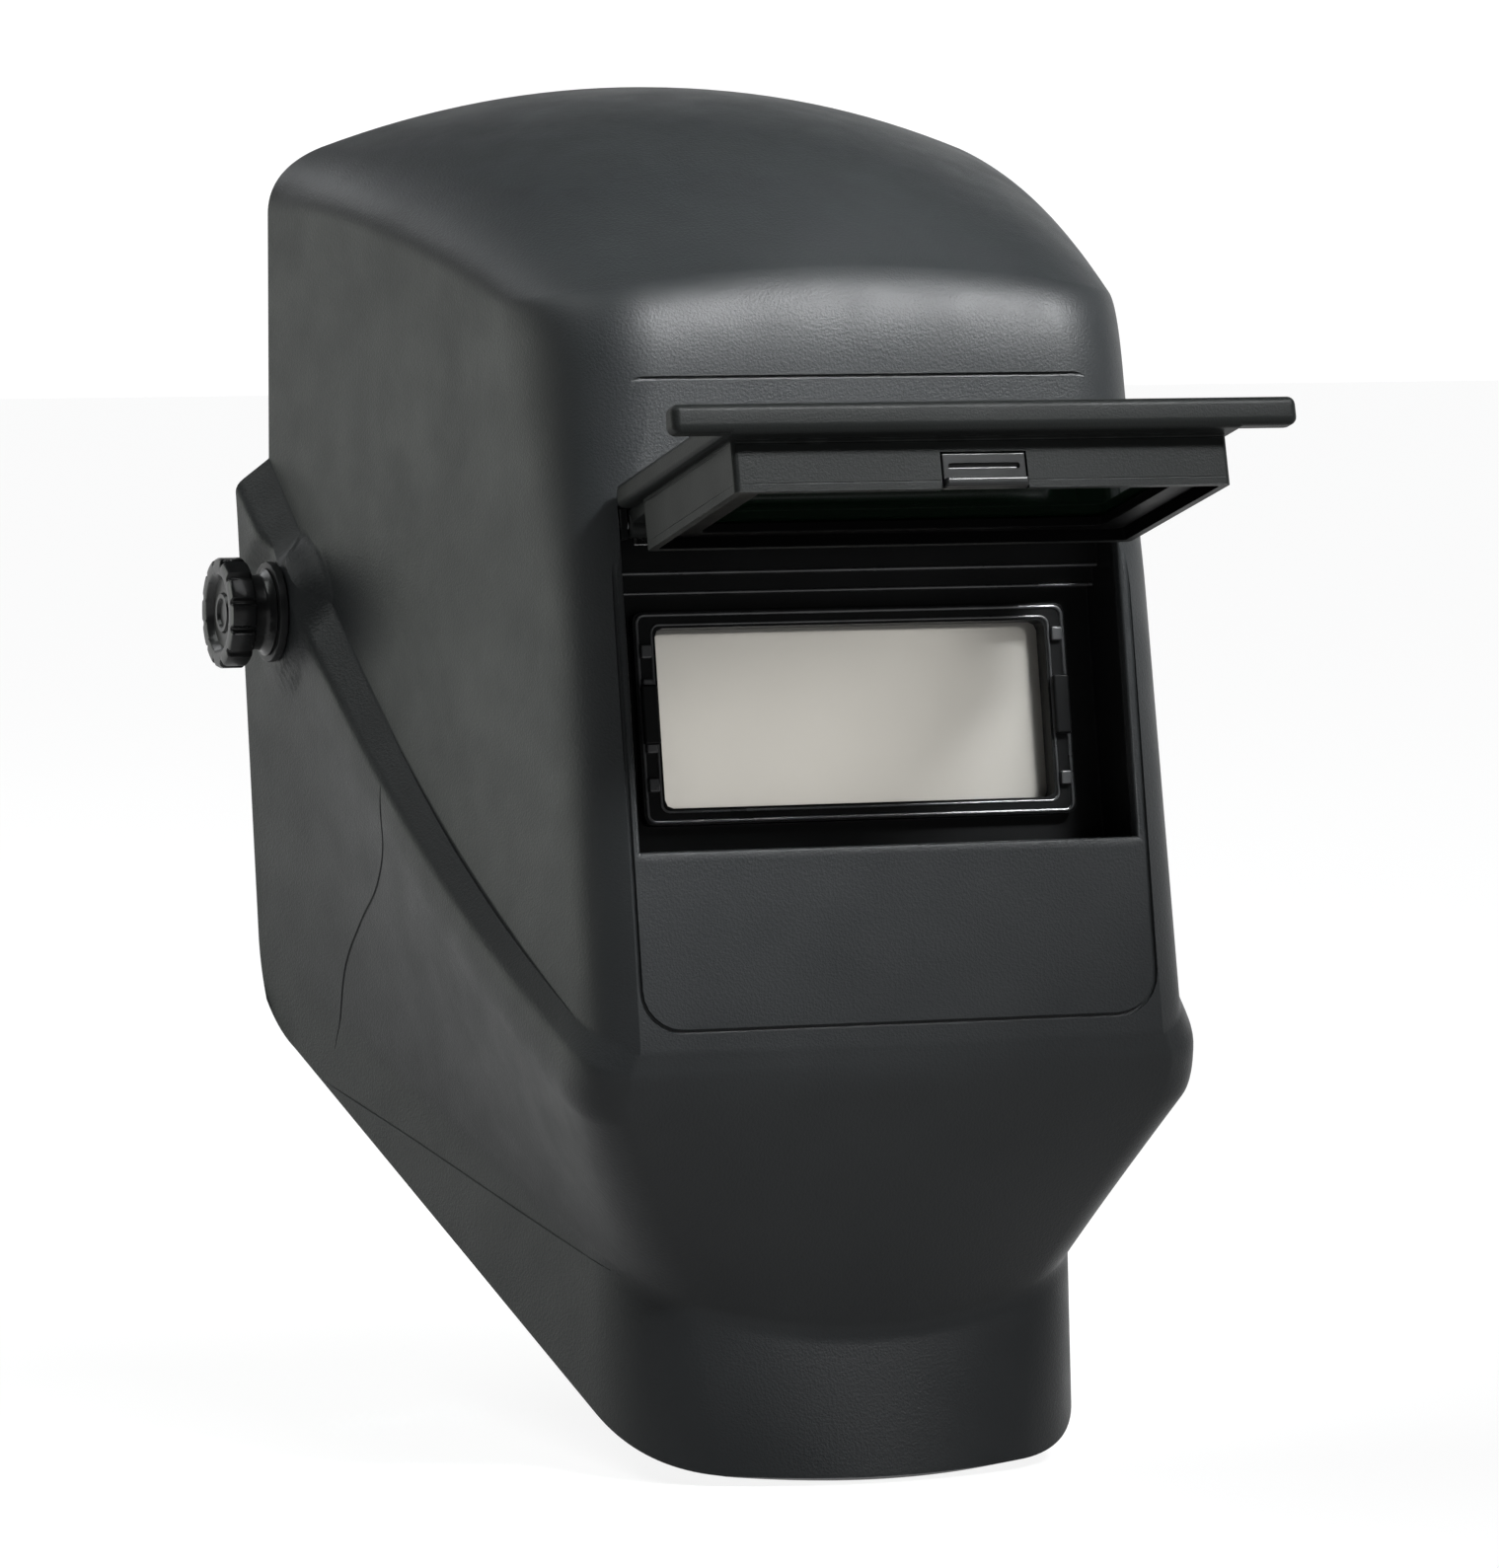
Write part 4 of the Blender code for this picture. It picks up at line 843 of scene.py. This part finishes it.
BORE = (70, (-1.1, -1.1), (1.1, 1.1), 0.9, 0)
# Corners of the filter box's inside, whose faces take painted shade.
SHADED_INSIDE = ((-57.7, -BOX_FAR + BOX_WALL - 0.1, -8.6), (57.7, -BOX_NEAR - BOX_WALL + 0.1, 2.9))
KNUCKLE_HALF, KNUCKLE_RADIUS, KNUCKLE_CHAMFER = 58.8, 3.0, 0.4
KNUCKLE_GROOVES = (-36, -12, 12, 36)
GROOVE = ((0, -0.7), (0.6, -0.3), (0.6, 0.3), (0, 0.7))  # depth and place along the barrel
BOX_LINE_HALF, BOX_LINE_OUT, BOX_LINE_STEP = 59.7, 0.1, 8 * MM
BOX_LINES = ((1.9, 0.3), (-7.3, 0.22))  # height and radius of the grooves round the box
LATCH_ROOT = (0, -72.75 * MM, -1.1 * MM)
LATCH_TONGUE = (10, (-1.0, -7.9), (0.8, 0), 0.3)
LATCH_HOOK = (10, (-2.8, -7.8), (0, -5.6), 0.7)
LATCH_LEDGE = (8.6, (-2.3, -3.6), (0, -2.2), 0.5)

# The tray's mouldings, in the face's axes: half width, bottom, top, corner, depth and bead radius.
SIGHT_BEADS = ((52.9, -39.5, 8.5, 2, 16.9, 0.4), (49.4, -37.2, 6.2, 2, 16.95, 0.3))
ROOF_LINES, ROOF_HALF, ROOF_BEAD = ((16.0, 13.4), (12.5, 17.6)), 61, 0.35 * MM
TAB_PLACES = ((-51.2, -31), (-51.2, -22), (-51.2, -8), (-51.2, 0), (51.2, -32), (51.2, 2))
TAB_HALF, TAB_DEPTH, TAB_ROUND = (1.3, 1.6), (15.6, 17.2), 0.4


def box_groove(height, radius):
    """A closed line round the filter box at one height."""
    near, far = BOX_NEAR - BOX_LINE_OUT, BOX_FAR + BOX_LINE_OUT
    corners = [(1, -near), (-1, -near), (-1, -far), (1, -far)]
    line = [LIFT @ (Vector((side * BOX_LINE_HALF, y, height)) * MM) for side, y in corners]
    return tube("box_line", dense(line, BOX_LINE_STEP), radius * MM)


def knuckle():
    """The hinge barrel, with a chamfer at both ends and a few turned grooves."""
    radius, end, chamfer = KNUCKLE_RADIUS, KNUCKLE_HALF, KNUCKLE_CHAMFER
    profile = [(0, -end, 0), (radius - chamfer, -end, 0), (radius, chamfer - end, 0)]
    for x in KNUCKLE_GROOVES:
        profile += [(radius - depth, x + along, 0) for depth, along in GROOVE]
    profile += [(radius, end - chamfer, 0), (radius - chamfer, end, 0), (0, end, 0)]
    return revolved("knuckle", profile, LIFT_FRONT, LIFT @ Matrix.Rotation(math.pi / 2, 4, "Y"), 32)


def centred(name, sizes, look, frame_at):
    half, near, far, rounding, *rest = sizes
    return block(name, (-half, *near), (half, *far), rounding, look, frame_at, *rest)


def lift_front():
    """The raised cover: lipped slab, hollow filter box, grooved knuckle and its openings."""
    made = centred("lift_front_body", SLAB, LIFT_FRONT, LIFT)
    joined = [centred("joined", sizes, LIFT_FRONT, LIFT) for sizes in (LIP, BOX, WEB)]
    carve(made, [*joined, knuckle()], "UNION")
    cut = [centred("cut", sizes, LIFT_FRONT, LIFT) for sizes in (POCKET, SIGHT, SIGHT_EDGE, NOTCH, BORE)]
    carve(made, cut + [box_groove(*line) for line in BOX_LINES])
    # Faces inside the filter box get painted shade: a near-black copy of the lift front's plastic.
    made.data.materials.append(SHADE_BLACK)
    inverse = LIFT.inverted()
    for face in made.data.polygons:
        at = inverse @ face.center / MM
        face.material_index = int(all(low < c < high for low, c, high in zip(SHADED_INSIDE[0], at, SHADED_INSIDE[1])))
    placed(made, "lift_front", "shell_nylon", "lift_front_frame")


def latch():
    """The catch: a tongue with a hooked foot and a finger ledge."""
    root = LIFT @ Matrix.Translation(LATCH_ROOT)
    made = centred("latch_body", LATCH_TONGUE, GLOSS, root)
    carve(made, [centred("joined", sizes, GLOSS, root) for sizes in (LATCH_HOOK, LATCH_LEDGE)], "UNION")
    placed(made, "latch", "gloss_black_nylon", "lift_latch")


def tray_trim():
    """Fine raised lines and tabs on the tray, round the sight frame and along its stepped roof, in paler
    plastic that paints a highlight along them.
    """
    parts = []
    for *sizes, bead in SIGHT_BEADS:
        line = dense(rounded_rectangle(*[size * MM for size in sizes]), LINE_STEP)
        parts.append(tube("tray_trim", [FACE @ p for p in line], bead * MM, look=LIT_TRIM))
    for depth, height in ROOF_LINES:
        ends = [FACE @ (Vector((side * ROOF_HALF, depth, height)) * MM) for side in (-1, 1)]
        line = dense(ends, LINE_STEP, False)
        parts.append(tube("roof_line", line, ROOF_BEAD, closed=False, look=LIT_TRIM))
    (half, rise), (front, back) = TAB_HALF, TAB_DEPTH
    for x, z in TAB_PLACES:
        low, high = (x - half, front, z - rise), (x + half, back, z + rise)
        parts.append(block("tab", low, high, TAB_ROUND, LIT_TRIM, FACE))
    made, *others = parts
    carve(made, others, "UNION")
    placed(made, "shell", "tray_nylon")


# ---------------------------------------------------------------- knobs


# Turned profiles in millimetres: radius, distance along the axis, and the flutes' share of their depth.
THUMB_WHEEL = [
    (0, 113.4, 0), (3.2, 113.4, 0), (3.6, 114.1, 0), (4.6, 114.1, 0), (5.0, 113.4, 0), (8.4, 113.4, 0),
    (9.4, 114.9, 0), (10.0, 115.2, 0.2), (12.3, 115.2, 0.7), (13.0, 114.9, 1), (13.4, 114.2, 1),
    (13.4, 111.8, 1), (13.4, 109.6, 1), (13.0, 109.0, 0.9), (12.4, 108.7, 0.6), (9.6, 108.4, 0),
    (9.2, 108.0, 0), (9.0, 105.4, 0), (9.3, 104.4, 0), (10.6, 103.3, 0), (10.6, 103.1, 0),
    (4.1, 103.1, 0), (4.1, 111.8, 0), (0, 111.8, 0),
]
THUMB_FLUTES = (288, 12, 1.2, 0.26)  # steps round, flutes, their depth, and their share of the rim
HAND_WHEEL = [
    (0, 137.4, 0), (9.5, 137.4, 0), (11.0, 138.5, 0), (13.5, 138.5, 0.1), (15.6, 137.5, 0.6),
    (16.7, 136.3, 1), (17.0, 134.5, 1), (17.0, 129.4, 1), (16.6, 128.2, 0.9), (16.0, 127.4, 0.4),
    (4.0, 127.4, 0), (4.0, 120.2, 0), (0, 120.2, 0),
]
HAND_FLUTES = (240, 24, 0.9, 0.6)
NAPE_HEIGHT = -14


def tension_knob(side, sign):
    """The fluted thumb wheel: scalloped rim, dished end face with a raised ring, waisted hub."""
    turn = Matrix.Rotation(sign * math.pi / 2, 4, "Y")
    made = revolved(f"knob_{side}", THUMB_WHEEL, GLOSS, turn, *THUMB_FLUTES)
    placed(made, f"knob_{side}", "gloss_black_nylon", f"tension_knob_{side}")


def nape_knob():
    """The ratchet's knurled hand wheel with a dished face."""
    turn = Matrix.Translation((0, 0, NAPE_HEIGHT * MM)) @ Matrix.Rotation(-math.pi / 2, 4, "X")
    made = revolved("nape_knob", HAND_WHEEL, GLOSS, turn, *HAND_FLUTES)
    placed(made, "ratchet", "gloss_black_nylon", "ratchet_knob")


# ---------------------------------------------------------------- headgear

# All in millimetres. The bands' arcs are a half width, a middle y and a reach in y from it.
UP = Vector((0, 0, 1))
LEFT = Vector((-1, 0, 0))
BAND_HEIGHT = 30
BAND_FALL, FALL_FROM, FALL_RUN = 44, 5, 111
BROW_ARC, BROW_TAILS = (78, -4, -80), (60, 50, 42, 33, 24, 10)
BROW_TAPER = [0.66, 0.66, 0.66, 0.72, 0.82, 0.97]  # share of the band's height at each point of a tail
NAPE_ARC, NAPE_TAILS = (80.4, 75, 41), (40, 50, 62)
ARC_STEPS = 72
BAND_THICK, BAND_BEAD = 1.8, 0.2
BROW_HALF_HEIGHT, NAPE_HALF_HEIGHT = 13, 10
BROW_SLOTS, BROW_SLOT = (30, 37, 44, 51), (4.4, 3.0)
NAPE_SLOTS, NAPE_SLOT = (50, 58, 66), (5.0, 3.0)
THROUGH = 90
RIVET_HOLE, RIVET_HEIGHTS = 1.9 * MM, (24.5, 35.5)
RACK_WINDOW = ((-14, 110, -16), (14, 122, -12))
STRAP_HALF_SPAN, STRAP_Y, STRAP_FOOT, STRAP_RISE, STRAP_STEPS = 71.2, -19.5, 26, 84, 48
STRAP_OVERLAP = 9.0
STRAP_SIZE = (10.5, 1.5, 0.3)
STRAP_HOLE, STRAP_HOLES, STRAP_CUT = 2.4 * MM, (0, 10, 20, 30), (90 * MM, 116 * MM)
WINDOW_SPAN, WINDOW_FEET, WINDOW_HEIGHT, WINDOW_CORNER = (-24, -15), (48, 66), 12, 2.4


def side_height(y):
    """Height of the bands' middle line: level over the forehead, falling toward the nape."""
    return BAND_HEIGHT - BAND_FALL * max(0.0, y - FALL_FROM) / FALL_RUN


def band(name, arc, tails, taper, half_height):
    """A strap round half the head, on an elliptical arc with a straight tail at each end."""
    half, middle, reach = arc
    points, outs = [], []
    for i in range(ARC_STEPS + 1):
        angle = math.pi * i / ARC_STEPS
        x, y = -half * math.cos(angle), middle + reach * math.sin(angle)
        points.append(Vector((x, y, side_height(y))) * MM)
        outs.append(Vector((-math.cos(angle) / half, math.sin(angle) / reach, 0)).normalized())
    ahead = [Vector((-half, y, side_height(y))) * MM for y in tails]
    behind = [Vector((half, y, side_height(y))) * MM for y in reversed(tails)]
    route = ahead + points + behind
    outs = [LEFT] * len(tails) + outs + [-LEFT] * len(tails)
    scales = taper + [1.0] * len(points) + taper[::-1]
    section = strap_section(half_height, BAND_THICK, BAND_BEAD)
    return swept(name, route, outs, [UP] * len(route), section, BAND, scales)


def slots(name, places, size):
    """Oblong holes through both sides of a band, on its middle line at the given distances back."""
    length, height = size
    made = []
    for y in places:
        z = side_height(y)
        low = (-THROUGH, y - length / 2, z - height / 2)
        high = (THROUGH, y + length / 2, z + height / 2)
        made.append(block(name, low, high, height * 0.48, BAND, axis=0))
    return made


def forehead_band():
    """The headband, with adjusting slots in its tapered tails and rivet holes for the pivots."""
    made = band("forehead_band", BROW_ARC, BROW_TAILS, BROW_TAPER, BROW_HALF_HEIGHT)
    holes = slots("adjust_slot", BROW_SLOTS, BROW_SLOT)
    for z in RIVET_HEIGHTS:
        at = Vector((0, 0, z * MM))
        holes.append(cylinder("rivet_hole", RIVET_HOLE, -THROUGH * MM, THROUGH * MM, "X", 24, at))
    carve(made, holes)
    placed(made, "headgear", "headband_polyethylene", "headband_front")


def rear_band():
    """The nape band, with a window over the ratchet and slots in both arms."""
    made = band("rear_band", NAPE_ARC, NAPE_TAILS, [1.0] * len(NAPE_TAILS), NAPE_HALF_HEIGHT)
    window = block("rack_window", *RACK_WINDOW, 1.4, BAND, axis=1)
    carve(made, slots("arm_slot", NAPE_SLOTS, NAPE_SLOT) + [window])
    placed(made, "nape", "headband_polyethylene", "nape_band")


def crown_strap(side, sign, under):
    """One strap over the head with edge beads, a line of adjusting holes and a free end."""
    route, outs = [], []
    rise = STRAP_RISE - under
    for i in range(STRAP_STEPS + 1):
        angle = math.pi / 2 * i / STRAP_STEPS
        along, up = math.cos(angle), math.sin(angle)
        route.append(Vector((sign * STRAP_HALF_SPAN * along, STRAP_Y, STRAP_FOOT + rise * up)) * MM)
        outs.append(Vector((sign * along / STRAP_HALF_SPAN, 0, up / rise)).normalized())
    route.append(Vector((-sign * STRAP_OVERLAP, STRAP_Y, STRAP_FOOT + rise)) * MM)
    outs.append(outs[-1])
    across = [Vector((0, 1, 0))] * len(route)
    made = swept(f"crown_band_{side}", route, outs, across, strap_section(*STRAP_SIZE), BAND)
    cutters = []
    for x in STRAP_HOLES:
        at = Vector((sign * x, STRAP_Y, 0)) * MM
        cutters.append(cylinder("strap_hole", STRAP_HOLE, *STRAP_CUT, "Z", 24, at))
    (back, ahead) = WINDOW_SPAN
    for z in WINDOW_FEET:
        low, high = (-THROUGH, back, z), (THROUGH, ahead, z + WINDOW_HEIGHT)
        cutters.append(block("strap_window", low, high, WINDOW_CORNER, BAND, axis=0))
    carve(made, cutters)
    placed(made, "headgear", "headband_polyethylene", f"crown_strap_{side}")


# ---------------------------------------------------------------- soft goods

PAD_CROWN = 0.40  # share of the thickness that each side of the unswollen form stands out
CLOTH_PRESSURE = 4.0
CLOTH_FRAMES = 20
SWELL_LIMIT = 0.7 * MM
CHANNEL_WIDTH, CHANNEL_DEPTH = 0.02, 0.62
BINDING_RADIUS = 1.0 * MM
BINDING_CORNERS = ((-0.99, -0.97), (0.99, -0.97), (0.99, 0.97), (-0.99, 0.97))
LONG_SIDE, SHORT_SIDE = 60, 10  # points along the binding
STITCH_SPAN, STITCH_DEPTH = 0.82, -1.1 * MM
STITCH_SHAPE = (1.0 * MM, 0.3 * MM, 0.3 * MM)
BROW_PAD_HALF, BROW_PAD_REACH, BROW_PAD_SPAN = 73.8, 75.8, 0.3
BROW_PAD_RISE = 16
BROW_CHANNELS = [-0.75 + 0.25 * i for i in range(7)]
NAPE_PAD_HALF, NAPE_PAD_Y, NAPE_PAD_BOW, NAPE_PAD_RISE = 26, 108.6, 1.2, 13
NAPE_CHANNELS = [-0.4, 0.4]


def pad(name, body, node, surface, size, thick, channels):
    """A stuffed cloth pad: a crowned form, swollen by cloth pressure, with sewn channels pulled in."""
    across, up = size
    work = bmesh.new()
    grid, spine = {}, []
    for side in (1, -1):
        for i in range(across + 1):
            for k in range(up + 1):
                edge = i in (0, across) or k in (0, up)
                if edge and side < 0:
                    grid[side, i, k] = grid[1, i, k]
                    continue
                a, b = 2 * i / across - 1, 2 * k / up - 1
                middle, out = surface(a, b)
                crown = (max(0.0, 1 - abs(a) ** 8) * max(0.0, 1 - abs(b) ** 4)) ** 0.5
                grid[side, i, k] = work.verts.new(middle + out * side * crown * thick * PAD_CROWN * MM)
                spine.append((middle, a))
    for side in (1, -1):
        for i in range(across):
            for k in range(up):
                corners = ((i, k), (i + 1, k), (i + 1, k + 1), (i, k + 1))
                work.faces.new([grid[(side, *corner)] for corner in corners[::side]])
    bmesh.ops.recalc_face_normals(work, faces=work.faces)
    made = finish_mesh(work, name, CLOTH)
    start = [vert.co.copy() for vert in made.data.vertices]
    cloth = made.modifiers.new("cloth", "CLOTH")
    cloth.settings.use_pressure = True
    cloth.settings.uniform_pressure_force = CLOTH_PRESSURE
    cloth.settings.effector_weights.gravity = 0.0
    for number in range(1, CLOTH_FRAMES + 1):
        bpy.context.scene.frame_set(number)
    applied(made)
    bpy.context.scene.frame_set(1)
    for vert, first, (middle, a) in zip(made.data.vertices, start, spine):
        moved = vert.co - first
        if moved.length > SWELL_LIMIT:
            moved *= SWELL_LIMIT / moved.length
        drawn = max(math.exp(-((a - at) / CHANNEL_WIDTH) ** 2) for at in channels)
        vert.co = middle + (first + moved - middle) * (1 - CHANNEL_DEPTH * drawn)
    modified(made, "SUBSURF", levels=1, render_levels=1)
    made.data.shade_smooth()
    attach(made, body)
    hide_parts(node)


def piping(name, body, surface):
    """The bound edge of a pad: a cord of the same cloth round its rim."""
    line = []
    for (a, b), (c, d) in zip(BINDING_CORNERS, BINDING_CORNERS[1:] + BINDING_CORNERS[:1]):
        steps = LONG_SIDE if a != c else SHORT_SIDE
        line += [surface(a + (c - a) * i / steps, b + (d - b) * i / steps)[0] for i in range(steps)]
    placed(tube(name, line, BINDING_RADIUS, 12, look=BINDING), body, "sweatband_cloth")


def stitches(name, body, surface, channels, rows):
    """Short threads laid in the sewn channels, on the face towards the head."""
    work = bmesh.new()
    for at in channels:
        for k in range(rows):
            b = STITCH_SPAN * (2 * k / (rows - 1) - 1)
            middle, out = surface(at, b)
            ahead = (surface(at, b + 0.05)[0] - middle).normalized()
            turn = Matrix((ahead, out, ahead.cross(out))).transposed().to_4x4()
            place = Matrix.Translation(middle + out * STITCH_DEPTH) @ turn
            bmesh.ops.create_uvsphere(work, u_segments=10, v_segments=6, radius=1.0,
                                      matrix=place @ Matrix.Diagonal((*STITCH_SHAPE, 1)))
    placed(finish_mesh(work, name, THREAD), body, "sweatband_cloth")


def brow_surface(a, b):
    """The sweatband's middle surface and its outward way, for a and b from -1 to 1."""
    angle = math.pi * (0.5 + BROW_PAD_SPAN * a)
    x, y = -math.cos(angle), -math.sin(angle)
    point = (BROW_PAD_HALF * x, BROW_ARC[1] + BROW_PAD_REACH * y, BAND_HEIGHT + BROW_PAD_RISE * b)
    return Vector(point) * MM, Vector((x / BROW_PAD_HALF, y / BROW_PAD_REACH, 0)).normalized()


def nape_surface(a, b):
    """The nape pad's middle surface and its outward way, for a and b from -1 to 1."""
    y = NAPE_PAD_Y + NAPE_PAD_BOW * (1 - a * a)
    point = (NAPE_PAD_HALF * a, y, NAPE_HEIGHT + NAPE_PAD_RISE * b)
    return Vector(point) * MM, Vector((0.05 * a, 1, 0)).normalized()


def soft_goods():
    """Both pads, each with its bound edge and its stitches."""
    for name, body, node, surface, size, thick, channels, rows in (
        ("sweatband_pad", "headgear", "sweatband", brow_surface, (120, 24), 5.4, BROW_CHANNELS, 9),
        ("nape_cushion", "nape", "nape_pad", nape_surface, (48, 24), 5.0, NAPE_CHANNELS, 7),
    ):
        pad(name, body, node, surface, size, thick, channels)
        start = name.removesuffix("_pad")
        piping(f"{start}_binding", body, surface)
        stitches(f"{start}_stitching", body, surface, channels, rows)


camera()
world()
floor()
sun("key", 38, 56, 34, 1.5, (0.98, 0.99, 1.0))
area_light("front", 34, 41, 1.0, (0.42, 0.14), 1.6, (0.97, 0.99, 1.0), BROW_MIDDLE, 26)
area_light("side", -124, 2, 1.3, (1.0, 0.5), 3.7, (0.93, 1.0, 0.89))
area_light("top", -96, 56, 1.8, (1.2, 0.6), 15, (0.95, 0.99, 0.97))
area_light("crown", -152, 34, 1.8, (1.0, 0.5), 5.5, (0.96, 0.98, 1.0))
area_light("rear", 160, -3, 0.5, (0.14, 0.10), 0.07, (1.0, 0.98, 0.95))
dress_nodes()
shell_piece()
lift_front()
latch()
tray_trim()
nape_knob()
forehead_band()
rear_band()
for side, sign, under in (("left", 1, 0.0), ("right", -1, 3.0)):
    tension_knob(side, sign)
    crown_strap(side, sign, under)
soft_goods()

bpy.context.scene.view_settings.view_transform = "Standard"
